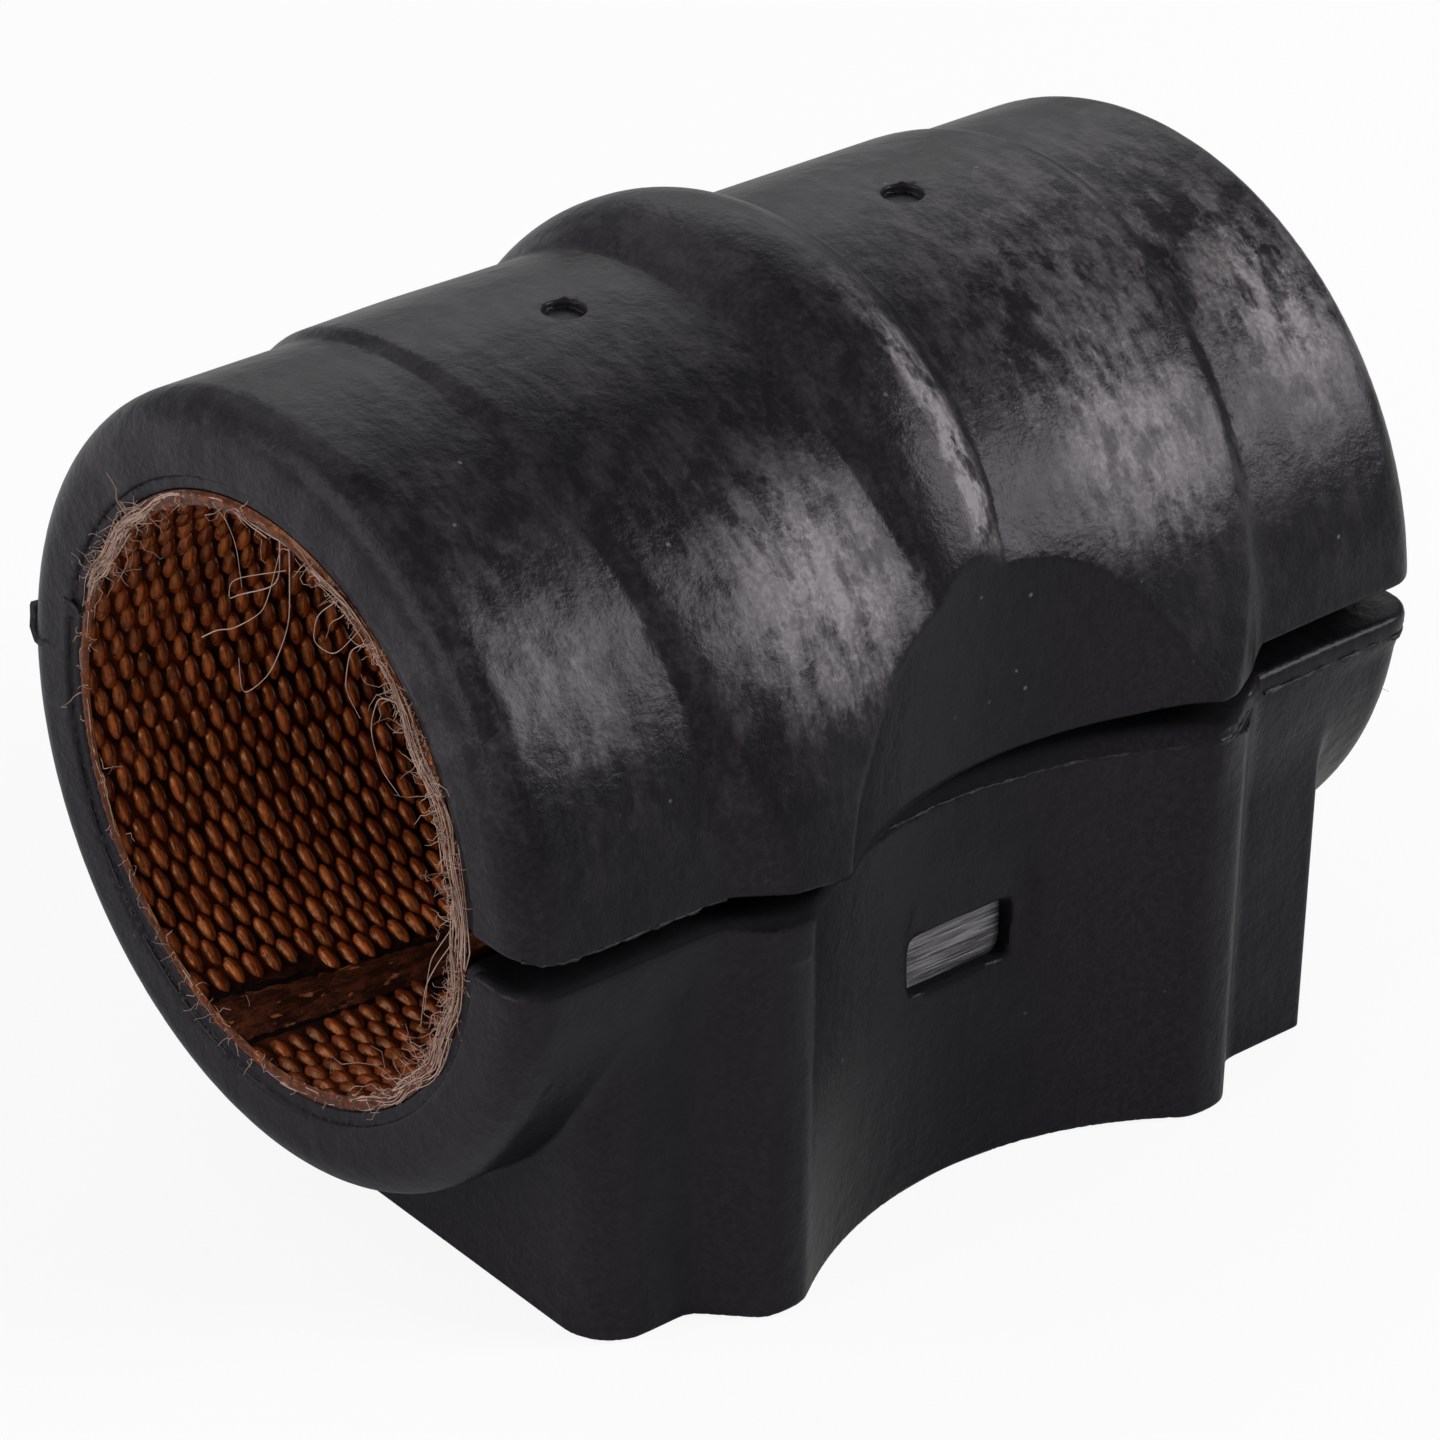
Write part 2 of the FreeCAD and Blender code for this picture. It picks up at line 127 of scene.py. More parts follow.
@dataclass
class MouldedForm:
    """Signed distance of the rubber moulding, in millimetres in the part's frame."""

    lining_radius: float = 18.0
    half_length: float = 33.5
    collar_radius: float = 23.5
    collar_rim: float = 2.45
    rear_shrink: float = 0.45
    shoulder_radius: float = 24.0
    shoulder_edge: float = 0.2
    boss_half_width: float = 25.5
    boss_flank_reach: float = 43.0
    boss_swell: float = 0.8
    crease_blend: float = 0.12
    flank_slope: float = 28.0
    bead_centre_height: float = 3.2
    bead_radius: float = 23.1
    bead_half_width: float = 5.6
    bead_middle: float = -0.7
    bead_drop: float = 2.7
    bead_power: float = 2.27
    bead_blend: float = 0.12
    block_half_width: float = 22.2
    block_half_length: float = 27.25
    block_depth: float = 27.45
    front_corner: float = 3.4
    far_corner: float = 7.5
    rear_corner: float = 0.5
    foot_edge: float = 0.2
    lower_pocket: tuple[float, float, float] = (45.4, 0.0, 25.0)
    upper_pocket: tuple[float, float, float] = (44.8, 1.6, 24.0)
    end_recess_radius: float = 18.8
    end_recess_depth: float = 0.26
    window_y: tuple[float, float] = (-3.6, 4.1)
    window_z: tuple[float, float] = (-14.2, -10.5)
    window_floor_x: float = 19.3
    pin_recess_y: tuple[float, float] = (-3.5, 5.3)
    pin_recess_z: tuple[float, float] = (-14.3, -7.2)
    pin_recess_x: float = 20.45
    dimple_radius: float = 1.2
    dimple_depth: float = 0.5
    dimple_places: tuple[float, float] = (-12.4, 12.4)
    dimple_edge: float = 0.2
    flank_edge: float = 0.5
    boss_edge: float = 0.8
    boss_foot_blend: float = 0.5
    boss_side_edge: float = 0.15
    pocket_edge: float = 0.55
    pocket_crest: float = 0.12
    block_blend: float = 0.8
    shoulder_lowest: float = -4.0
    block_highest: float = -2.0
    bead_lowest: float = 4.0
    bead_reach: float = 1.5
    end_recess_edge: float = 0.34
    roof_edge: float = 0.35
    lip_dip: float = 0.4
    window_corner: float = 0.9
    window_edge: float = 0.25
    pin_recess_corner: float = 3.2
    pin_recess_side_corner: float = 0.5
    pin_recess_slope: float = 0.6
    pin_recess_blend: float = 0.8
    pin_recess_edge: float = 0.7

    crease_knots: Knots = ((0.0, 19.9), (5.0, 20.0), (12.0, 20.8), (17.8, 21.6), (21.0, 22.4), (24.0, 23.2))
    roof_knots: Knots = (
        (-33.5, 0.75), (-32.0, 0.4), (-30.0, 0.15), (-26.0, 0.05), (-20.5, 0.0), (-18.5, 0.0),
        (-15.0, -0.25), (-12.5, -0.65), (-10.5, -0.85), (-7.0, -0.65), (0.0, -0.35), (6.0, -0.15),
        (11.0, 0.1), (14.0, 0.45), (19.3, 0.6), (20.3, 1.85), (26.0, 1.95), (33.5, 1.95),
    )
    floor_knots: Knots = (
        (-33.5, -1.15), (-30.0, -1.3), (-21.0, -1.35), (-17.0, -1.5), (-12.5, -1.2), (-10.5, -1.0),
        (-7.0, -1.05), (0.0, -1.2), (8.0, -1.1), (14.0, -0.85), (19.3, -0.8), (20.3, -0.1), (26.0, 0.0),
        (33.5, 0.0),
    )
    lip_knots: Knots = ((-33.5, 0.8), (-14.0, 0.8), (-9.0, 1.3), (9.0, 1.5), (15.0, 0.8), (33.5, 0.6))

    def roof(self, y: Array) -> Array:
        """Height of the slit's upper lip along the bore."""
        return profile(self.roof_knots, y)

    def floor(self, y: Array) -> Array:
        """Height of the slit's lower lip along the bore."""
        return profile(self.floor_knots, y)

    def crease(self, z: Array) -> Array:
        """Distance from mid-length at which the shoulder meets the collar."""
        return profile(self.crease_knots, z)

    def _collar(self, radius: Array, along: Array, y: Array, z: Array) -> Array:
        """Full-length barrel with rounded end rims, a little smaller low down at the rear.

        Args:
            radius: Distances from the bore's axis.
            along: Places along the bore, without sign.
            y: Places along the bore.
            z: Places upward.

        Returns:
            The distance to the barrel.
        """
        shrunk = self.rear_shrink * ramp(22.0, 32.0, y) * ramp(-0.8, -3.0, z)
        out = radius - (self.collar_radius - self.collar_rim - shrunk)
        end = along - (self.half_length - self.collar_rim)
        inside = np.minimum(np.maximum(out, end), 0.0)
        return np.hypot(np.maximum(out, 0.0), np.maximum(end, 0.0)) + inside - self.collar_rim

    def _wall(self, side: Array, y: Array, z: Array, radius: Array) -> Array:
        """Cross-section of the shoulder, its skirts and the bosses' crests.

        Args:
            side: Places across, without sign.
            y: Places along the bore.
            z: Places upward.
            radius: Distances from the bore's axis.

        Returns:
            The distance, negative inside.
        """
        tilt = math.acos(self.shoulder_radius / self.boss_half_width)
        angle = np.arctan2(z, side)
        skirt = side * math.cos(tilt) + z * math.sin(tilt) - self.shoulder_radius
        hull = np.where(angle > tilt, radius - self.shoulder_radius, skirt)
        fuller = hill(y, -14.5, 5.0) * ramp(1.15, 0.45, angle) * ramp(-0.05, 0.2, angle)
        hull = hull - self.boss_swell * fuller
        return smooth_max(hull, side - self.boss_half_width, self.boss_side_edge)

    def _plan(self, side: Array, along: Array, y: Array, x: Array) -> Array:
        """Plan of the block with its bosses, before the pockets.

        Args:
            side: Places across, without sign.
            along: Places along the bore, without sign.
            y: Places along the bore.
            x: Places across, towards the slit.

        Returns:
            The distance to the outline seen from above.
        """
        boss_end = np.where(y < 0.0, self.front_corner, self.rear_corner)
        corner = np.where((y < 0.0) & (x < 0.0), self.far_corner, boss_end)
        dx = side - (self.block_half_width - corner)
        dy = along - (self.block_half_length - corner)
        outside = np.hypot(np.maximum(dx, 0.0), np.maximum(dy, 0.0))
        box = outside + np.minimum(np.maximum(dx, dy), 0.0) - corner
        flank = (side + along - self.boss_flank_reach) * math.sqrt(0.5)
        boss = smooth_max(side - self.boss_half_width, flank, self.boss_edge)
        boss = np.maximum(boss, along - (self.block_half_length - boss_end))
        return smooth_min(box, boss, self.boss_foot_blend)

    def pocket_depth(self, side: Array, y: Array, z: Array, x: Array) -> Array:
        """Depth inside the hollow between the bosses, positive where it is open.

        Args:
            side: Places across, without sign.
            y: Places along the bore.
            z: Places upward.
            x: Places across, towards the slit.

        Returns:
            The depth at each place.
        """
        lower_x, lower_y, lower_r = self.lower_pocket
        upper_x, upper_y, upper_r = self.upper_pocket
        lower = lower_r - np.hypot(side - lower_x, y - lower_y)
        upper = upper_r - np.hypot(side - upper_x, y - upper_y)
        sharp = ramp(-1.1, -0.5, z)
        soft = ramp(-3.0, 2.0, z)
        share = np.where(x > 0.0, sharp, soft)
        return lower + (upper - lower) * share

    def bead(self, x: Array, y: Array, z: Array) -> Array:
        """Distance to the round bead over the middle, before it is cut to its ends.

        Args:
            x: Places across, towards the slit.
            y: Places along the bore.
            z: Places upward.

        Returns:
            The distance, negative inside.
        """
        share = np.minimum(np.abs(y - self.bead_middle) / self.bead_half_width, 1.6)
        crest = self.bead_radius - self.bead_drop * share**self.bead_power
        return np.hypot(x, z - self.bead_centre_height) - crest

    def distance(self, x: Array, y: Array, z: Array) -> Array:
        """Signed distance to the moulding's skin, negative inside the rubber.

        Args:
            x: Places across, towards the slit.
            y: Places along the bore.
            z: Places upward.

        Returns:
            The distance at each place.
        """
        side, along = np.abs(x), np.abs(y)
        radius = np.hypot(x, z)
        collar = self._collar(radius, along, y, z)
        wall = self._wall(side, y, z, radius)
        plan = self._plan(side, along, y, x)
        pocket = self.pocket_depth(side, y, z, x)
        flanks = smooth_max(wall, plan, self.flank_edge)
        slope = math.radians(self.flank_slope)
        end = (along - self.crease(z)) * math.sin(slope) + (radius - self.collar_radius) * math.cos(slope)
        upper = smooth_max(flanks, end, self.shoulder_edge)
        upper = np.maximum(upper, self.shoulder_lowest - z)
        lower = np.maximum(smooth_max(flanks, pocket, self.pocket_edge), z - self.block_highest)
        lower = smooth_max(lower, -z - self.block_depth, self.foot_edge)
        crease = self.crease_blend + 0.4 * ramp(12.0, 4.0, z)
        body = smooth_min(collar, upper, crease)
        body = smooth_min(body, lower, self.block_blend)

        cut_off = np.maximum(self.bead_lowest - z, along - self.bead_reach * self.bead_half_width)
        body = smooth_min(body, np.maximum(self.bead(x, y, z), cut_off), self.bead_blend)
        body = smooth_max(body, pocket, self.pocket_crest)

        body = np.maximum(body, self.lining_radius - radius)
        recess_floor = self.half_length - self.end_recess_depth
        recess = np.minimum(self.end_recess_radius - radius, along - recess_floor)
        body = smooth_max(body, recess, self.end_recess_edge)

        body = self._cut_slit(body, x, y, z)
        body = self._cut_window(body, side, y, z)
        for place in self.dimple_places:
            hole = self.dimple_radius - np.hypot(x, y - place)
            hole = np.minimum(hole, z - (self.shoulder_radius - self.dimple_depth))
            body = smooth_max(body, hole, self.dimple_edge)
        return body

    def _cut_slit(self, body: Array, x: Array, y: Array, z: Array) -> Array:
        """Opens the slit on the +X side, with softer lower lip in the pocket.

        Args:
            body: Distance to the moulding so far.
            x: Places across, towards the slit.
            y: Places along the bore.
            z: Places upward.

        Returns:
            The distance with the slit open.
        """
        hollow = hill(x, 20.4, 2.2) * ramp(-26.0, -33.0, y)
        roof = self.roof(y)
        floor = self.floor(y) - self.lip_dip * hollow
        above = smooth_max(body, roof - z, self.roof_edge)
        below = smooth_max(body, z - floor, profile(self.lip_knots, y))
        left = np.maximum(body, x)
        return np.minimum(np.minimum(above, below), left)

    def _cut_window(self, body: Array, side: Array, y: Array, z: Array) -> Array:
        """Opens the window onto the metal and sinks the pin's flat recess round it.

        Args:
            body: Distance to the moulding so far.
            side: Places across, without sign.
            y: Places along the bore.
            z: Places upward.

        Returns:
            The distance with both openings cut.
        """
        y0, y1 = self.window_y
        z0, z1 = self.window_z
        rise = np.maximum(z0 - z, z - z1)
        across = smooth_max(np.maximum(y0 - y, y - y1), rise, self.window_corner)
        opening = np.minimum(-across, side - self.window_floor_x)
        body = smooth_max(body, opening, self.window_edge)
        y0, y1 = self.pin_recess_y
        z0, z1 = self.pin_recess_z
        run = smooth_max(y0 - y, y - y1, self.pin_recess_side_corner)
        across = smooth_max(run, np.maximum(z0 - z, z - z1), self.pin_recess_corner)
        slope = -across * self.pin_recess_slope
        recess = smooth_min(slope, side - self.pin_recess_x, self.pin_recess_blend)
        return smooth_max(body, recess, self.pin_recess_edge)

    def normals(self, points: Array, step: float = 0.02) -> Array:
        """Directions straight out of the skin.

        Args:
            points: Places, one row each.
            step: Half the spacing of the differences.

        Returns:
            The distance's gradient at each place.
        """
        columns = []
        for axis in range(3):
            shift = np.zeros(3)
            shift[axis] = step
            ahead = self.distance(*(points + shift).T)
            behind = self.distance(*(points - shift).T)
            columns.append((ahead - behind) / (2.0 * step))
        return np.stack(columns, axis=1)

    def settle(self, points: Array, limit: float, rounds: int = 3) -> Array:
        """Moves places onto the skin.

        Args:
            points: Places near the skin, one row each.
            limit: The furthest that one round moves a place.
            rounds: How many times each place is moved.

        Returns:
            The settled places.
        """
        for _ in range(rounds):
            slope = self.normals(points)
            gap = self.distance(*points.T)
            move = gap / np.maximum((slope**2).sum(axis=1), 0.25)
            points = points - slope * np.clip(move, -limit, limit)[:, None]
        return points

    def outer_x(self, y: Array, z: Array) -> Array:
        """Outermost place of the skin on the +X side, at each y and z.

        Args:
            y: Places along the bore.
            z: Places upward.

        Returns:
            The place of the skin at each y and z.
        """
        steps = np.arange(26.5, 19.0, -0.05)
        x = np.full(y.shape, steps[-1])
        found = np.zeros(y.shape, bool)
        for step in steps:
            hit = (self.distance(np.full(y.shape, step), y, z) < 0.0) & ~found
            x[hit] = step
            found |= hit
        return x


@dataclass
class SkinMesher:
    """Turns a signed distance into a mesh of four-sided faces, finest at its edges."""

    cell: float = 0.62
    lip_cell: float = 0.42
    margin: float = 1.0
    highest: float = 25.7
    lip_zone: tuple[float, float] = (-3.2, 3.2)
    first_turn: float = 16.0
    later_turn: float = 24.0
    shortest_edge: float = 0.2
    rounds: int = 2

    def _lines(self, low: float, high: float, fine: tuple[float, float] | None) -> Array:
        """Places of the grid's planes along one axis.

        Args:
            low: Lowest place that the skin reaches.
            high: Highest place that the skin reaches.
            fine: Where the finer cells lie, if anywhere.

        Returns:
            The places, in rising order.
        """
        places = [low - self.margin]
        while places[-1] < high + self.margin:
            here = places[-1]
            close = fine is not None and fine[0] < here < fine[1]
            places.append(here + (self.lip_cell if close else self.cell))
        return np.array(places)

    def grid_skin(self, form: MouldedForm) -> tuple[Array, Array]:
        """Meshes the skin on a grid, one corner in each crossed cell.

        Args:
            form: The distance to mesh.

        Returns:
            The corners and the faces' corner numbers.
        """
        xs = self._lines(-form.boss_half_width, form.boss_half_width, None)
        ys = self._lines(-form.half_length, form.half_length, None)
        zs = self._lines(-form.block_depth, self.highest, self.lip_zone)
        values = form.distance(*np.meshgrid(xs, ys, zs, indexing="ij"))
        lines = (xs, ys, zs)
        cells = np.array(values.shape) - 1
        owners, places, rings = [], [], []
        for axis in range(3):
            first = [slice(None)] * 3
            second = [slice(None)] * 3
            first[axis] = slice(0, -1)
            second[axis] = slice(1, None)
            a, b = values[tuple(first)], values[tuple(second)]
            index = np.stack(np.nonzero((a < 0) != (b < 0)), axis=1)
            at_a, at_b = a[tuple(index.T)], b[tuple(index.T)]
            share = at_a / (at_a - at_b)
            point = np.stack([lines[k][index[:, k]] for k in range(3)], axis=1)
            step = lines[axis][index[:, axis] + 1] - lines[axis][index[:, axis]]
            point[:, axis] += share * step
            u, v = (axis + 1) % 3, (axis + 2) % 3
            ring = []
            for du, dv in ((-1, -1), (0, -1), (0, 0), (-1, 0)):
                cell = index.copy()
                cell[:, u] += du
                cell[:, v] += dv
                number = (cell[:, 0] * cells[1] + cell[:, 1]) * cells[2] + cell[:, 2]
                owners.append(number)
                places.append(point)
                ring.append(number)
            quad = np.stack(ring, axis=1)
            quad[at_a > 0] = quad[at_a > 0][:, ::-1]
            rings.append(quad)
        numbers, where = np.unique(np.concatenate(owners), return_inverse=True)
        points = np.concatenate(places)
        count = np.bincount(where)
        corners = np.stack([np.bincount(where, points[:, k]) / count for k in range(3)], axis=1)
        faces = np.searchsorted(numbers, np.concatenate(rings))
        return corners, faces

    def skin(self, form: MouldedForm) -> bpy.types.Mesh:
        """Meshes the skin, settles it and divides it where it turns sharply.

        Args:
            form: The distance to mesh.

        Returns:
            A smooth-shaded mesh in metres, with the distance's own normals.
        """
        corners, faces = self.grid_skin(form)
        corners = form.settle(corners, 0.3)
        radius = np.hypot(corners[:, 0], corners[:, 2])
        hidden = (radius < form.lining_radius + 0.05) & (np.abs(corners[:, 1]) < form.half_length - 1.0)
        faces = faces[~hidden[faces].all(axis=1)]
        mesh = bpy.data.meshes.new("moulded_body")
        mesh.from_pydata(corners.tolist(), [], faces.tolist())
        work = bmesh.new()
        work.from_mesh(mesh)
        loose = [v for v in work.verts if not v.link_faces]
        bmesh.ops.delete(work, geom=loose, context="VERTS")
        for number in range(self.rounds):
            turn = math.cos(math.radians(self.first_turn if number == 0 else self.later_turn))
            work.verts.ensure_lookup_table()
            points = np.array([v.co for v in work.verts])
            slope = form.normals(points)
            slope /= np.maximum(np.linalg.norm(slope, axis=1), 1e-9)[:, None]
            work.verts.index_update()
            ends = np.array([(e.verts[0].index, e.verts[1].index) for e in work.edges])
            along = (slope[ends[:, 0]] * slope[ends[:, 1]]).sum(axis=1)
            length = np.linalg.norm(points[ends[:, 0]] - points[ends[:, 1]], axis=1)
            chosen = (along < turn) & (length > self.shortest_edge)
            edges = [e for e, use in zip(work.edges, chosen) if use]
            bmesh.ops.subdivide_edges(work, edges=edges, cuts=1, use_grid_fill=True)
            work.verts.ensure_lookup_table()
            points = form.settle(np.array([v.co for v in work.verts]), 0.15)
            for vertex, place in zip(work.verts, points):
                vertex.co = place
        bmesh.ops.triangulate(work, faces=[f for f in work.faces if len(f.verts) > 4])
        work.to_mesh(mesh)
        work.free()
        points = np.zeros(len(mesh.vertices) * 3)
        mesh.vertices.foreach_get("co", points)
        points = points.reshape(-1, 3)
        slope = form.normals(points)
        slope /= np.maximum(np.linalg.norm(slope, axis=1), 1e-9)[:, None]
        mesh.vertices.foreach_set("co", (points * MM).ravel())
        mesh.shade_smooth()
        mesh.normals_split_custom_set_from_vertices(slope.tolist())
        mesh.update()
        return mesh


def add_floats(mesh: bpy.types.Mesh, name: str, values: Array) -> None:
    """Stores one number for each corner of the mesh."""
    layer = mesh.attributes.new(name, "FLOAT", "POINT")
    layer.data.foreach_set("value", np.asarray(values, np.float32))


def add_vectors(mesh: bpy.types.Mesh, name: str, values: Array) -> None:
    """Stores one vector for each corner of the mesh."""
    layer = mesh.attributes.new(name, "FLOAT_VECTOR", "POINT")
    layer.data.foreach_set("vector", np.asarray(values, np.float32).ravel())


def corner_places(mesh: bpy.types.Mesh) -> Array:
    """Places of the mesh's corners, one row each, in millimetres.

    Args:
        mesh: The mesh, in metres.

    Returns:
        The places.
    """
    places = np.zeros(len(mesh.vertices) * 3)
    mesh.vertices.foreach_get("co", places)
    return places.reshape(-1, 3) / MM


def place(name: str, mesh: bpy.types.Mesh, material: bpy.types.Material, slot: Slot) -> bpy.types.Object:
    """Adds a piece to the scene.

    Args:
        name: The piece's name.
        mesh: Its mesh, in metres in the part's frame.
        material: Its finish.
        slot: The record's slot that the finish belongs to. It is not used.

    Returns:
        The new object, riding on the part's one body.
    """
    piece = bpy.data.objects.new(name, mesh)
    bpy.context.scene.collection.objects.link(piece)
    mesh.materials.append(material)
    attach(piece, BODY)
    log.info("%s: %d faces", name, len(mesh.polygons))
    return piece


class Graph:
    """Short-hand for building one tree of nodes."""

    def __init__(self, tree: bpy.types.NodeTree) -> None:
        """Empties the tree."""
        self.tree = tree
        self.tree.nodes.clear()

    def node(self, kind: str, inputs: dict | None = None, **settings) -> bpy.types.Node:
        """Adds a node.

        Args:
            kind: The node's type, without the leading ShaderNode.
            inputs: Socket names or numbers with a value or a socket to link.
            **settings: The node's own properties.

        Returns:
            The new node.
        """
        made = self.tree.nodes.new("ShaderNode" + kind)
        for key, value in settings.items():
            setattr(made, key, value)
        for key, value in (inputs or {}).items():
            self.feed(made.inputs[key], value)
        return made

    def feed(self, socket: bpy.types.NodeSocket, value: object) -> None:
        """Links a socket, or sets its value.

        Args:
            socket: The socket to feed.
            value: A number, a colour or a socket.
        """
        if isinstance(value, bpy.types.NodeSocket):
            self.tree.links.new(value, socket)
        else:
            socket.default_value = value

    def where(self) -> Socket:
        """Place on the part, in metres in its frame."""
        return self.node("TexCoord").outputs["Object"]

    def stored(self, name: str, output: str = "Fac") -> Socket:
        """Value stored on the mesh's corners."""
        return self.node("Attribute", attribute_name=name).outputs[output]

    def math(self, operation: str, a: object, b: object = 0.0, c: object = 0.0) -> Socket:
        """One arithmetic step on numbers or sockets."""
        return self.node("Math", {0: a, 1: b, 2: c}, operation=operation).outputs[0]

    def times(self, a: object, b: object) -> Socket:
        """Product of two numbers or sockets."""
        return self.math("MULTIPLY", a, b)

    def scaled(self, value: object, factor: object, offset: object) -> Socket:
        """Value times a factor, plus an offset."""
        return self.math("MULTIPLY_ADD", value, factor, offset)

    def noise(self, vector: object, scale: float, detail: float = 4.0, rough: float = 0.55) -> Socket:
        """Noise from 0 to 1 at a scale."""
        inputs = {"Vector": vector, "Scale": scale, "Detail": detail, "Roughness": rough}
        return self.node("TexNoise", inputs).outputs[0]

    def stretched(
        self, vector: object, factors: Triple, detail: float = 4.0, rough: float = 0.55
    ) -> Socket:
        """Noise whose grain differs along the vector's axes."""
        scaled = self.node("VectorMath", {0: vector, 1: factors}, operation="MULTIPLY").outputs[0]
        return self.noise(scaled, 1.0, detail, rough)

    def between(self, value: object, low: float, high: float) -> Socket:
        """Smooth step of a socket from 0 at low to 1 at high."""
        inputs = {"Value": value, "From Min": low, "From Max": high}
        return self.node("MapRange", inputs, interpolation_type="SMOOTHSTEP").outputs[0]

    def mix(self, share: object, a: object, b: object) -> Socket:
        """Mixes two colours.

        Args:
            share: How much of the second colour.
            a: The first colour.
            b: The second colour.

        Returns:
            The mixed colour.
        """
        made = self.tree.nodes.new("ShaderNodeMix")
        made.data_type = "RGBA"
        self.feed(made.inputs[0], share)
        self.feed(made.inputs[6], a)
        self.feed(made.inputs[7], b)
        return made.outputs[2]

    def bump(self, height: object, strength: float, depth: float, normal: object = None) -> Socket:
        """Turns a height into a surface direction.

        Args:
            height: The height, from 0 to 1.
            strength: How strongly it counts.
            depth: The height of 1, in metres.
            normal: A direction that it is laid over.

        Returns:
            The surface direction.
        """
        inputs = {"Height": height, "Strength": strength, "Distance": depth}
        if normal is not None:
            inputs["Normal"] = normal
        return self.node("Bump", inputs).outputs[0]


class SurfaceGraph(Graph):
    """A material's nodes, with its one principled shader."""

    def __init__(self, name: str) -> None:
        """Starts the material with only its output and its shader.

        Args:
            name: The new data's name.
        """
        self.material = bpy.data.materials.new(name)
        self.material.use_nodes = True
        super().__init__(self.material.node_tree)
        self.output = self.node("OutputMaterial")
        self.shader = self.node("BsdfPrincipled")
        self.feed(self.output.inputs[0], self.shader.outputs[0])

    def dress(self, name: str, value: object) -> None:
        """Sets or links one of the shader's sockets."""
        self.feed(self.shader.inputs[name], value)


def rgba(colour: Colour) -> tuple[float, float, float, float]:
    """Opaque colour for a socket."""
    return (*colour, 1.0)


@dataclass(frozen=True)
class RubberFinish:
    """Matte black rubber with chalky scuffs, painted highlights, painted shade and painted front light,
    specks and fine draw marks.
    """

    name: str = "black_rubber"
    deep: Colour = (0.0036, 0.0031, 0.0042)
    worn: Colour = (0.0078, 0.0069, 0.0088)
    # Chalky colour, also laid as painted highlight on the bead's flank and higher up the part.
    bloom_and_highlight: Colour = (0.230, 0.212, 0.220)
    # Near-black colour of the painted shade in the slit, the hollows, on the window's walls and on the low
    # flanks.
    painted_shade: Colour = (0.0012, 0.0011, 0.0015)
    # Pale colour of the painted front light on the faces that look forward.
    dust_and_front_light: Colour = (0.0165, 0.0145, 0.0175)
    speck: Colour = (0.16, 0.155, 0.15)
    specular: float = 0.14
    specular_tint: Colour = (0.98, 0.93, 1.0)
    roughness: float = 0.33

    def material(self) -> bpy.types.Material:
        """Builds the finish.

        Returns:
            The material.
        """
        g = SurfaceGraph(self.name)
        where = g.where()
        flow = g.stored(FLOW_ATTRIBUTE, "Vector")
        bloom_and_highlight = g.stored(BLOOM_AND_HIGHLIGHT_ATTRIBUTE)
        clouds = g.noise(where, 170.0, 6.0, 0.62)
        grain = g.noise(where, 2600.0, 3.0, 0.6)
        rub = g.stretched(flow, (900.0, 330.0, 1.0), 5.0, 0.62)
        drag = g.stretched(flow, (900.0, 40.0, 1.0), 3.0, 0.5)
        blots = g.noise(where, 380.0, 5.0, 0.62)
        patchy = g.math("ADD", g.times(clouds, 0.25), g.times(rub, 0.45))
        patchy = g.scaled(blots, 0.30, patchy)
        patchy = g.scaled(bloom_and_highlight, 0.07, patchy)
        chalk_and_highlight = g.times(bloom_and_highlight, g.scaled(g.between(patchy, 0.46, 0.61), 1.35, 0.08))
        veins = g.between(g.math("ABSOLUTE", g.math("SUBTRACT", blots, 0.5)), 0.030, 0.004)
        chalk_and_highlight = g.scaled(g.times(bloom_and_highlight, veins), 0.45, chalk_and_highlight)
        fine = g.between(grain, 0.38, 0.66)
        chalk_and_highlight = g.times(chalk_and_highlight, g.scaled(fine, 0.36, 0.62))
        ground = g.mix(g.between(clouds, 0.3, 0.75), rgba(self.deep), rgba(self.worn))
        shade = g.stored(SHADE_ATTRIBUTE)
        # Painted shade: the ground turns near black where the shade attribute is high.
        ground = g.mix(g.times(shade, 0.9), ground, rgba(self.painted_shade))
        streaked = g.mix(g.times(g.between(drag, 0.55, 0.8), 0.35), ground, rgba(self.worn))
        # Painted front light: faces that look forward are made paler.
        dust_and_front_light = g.stored(FRONT_LIGHT_ATTRIBUTE)
        front_lit = g.mix(g.times(dust_and_front_light, g.scaled(fine, 0.5, 0.5)), streaked, rgba(self.dust_and_front_light))
        chalked_and_lit = g.mix(g.math("MINIMUM", chalk_and_highlight, 1.0), front_lit, rgba(self.bloom_and_highlight))
        dots = g.node("TexVoronoi", {"Vector": where, "Scale": 620.0}, feature="F1")
        near = g.math("SUBTRACT", 1.0, g.between(dots.outputs["Distance"], 0.04, 0.11))
        chosen = g.between(g.node("SeparateColor", {0: dots.outputs["Color"]}).outputs[0], 0.88, 1.0)
        specks = g.times(g.times(near, chosen), 0.6)
        g.dress("Base Color", g.mix(specks, chalked_and_lit, rgba(self.speck)))
        rough = g.scaled(clouds, 0.12, self.roughness - 0.06)
        rough = g.math("ADD", rough, g.times(chalk_and_highlight, 0.16))
        rough = g.scaled(g.between(shade, 0.6, 1.0), 0.5, rough)
        g.dress("Roughness", rough)
        g.dress("Specular IOR Level", self.specular)
        g.dress("Specular Tint", rgba(self.specular_tint))
        coarse = g.bump(g.noise(where, 560.0, 5.0, 0.62), 0.34, 0.0004)
        fine_bump = g.bump(grain, 0.35, 0.00006, coarse)
        lines = g.bump(drag, 0.3, 0.00008, fine_bump)
        g.dress("Normal", lines)
        return g.material


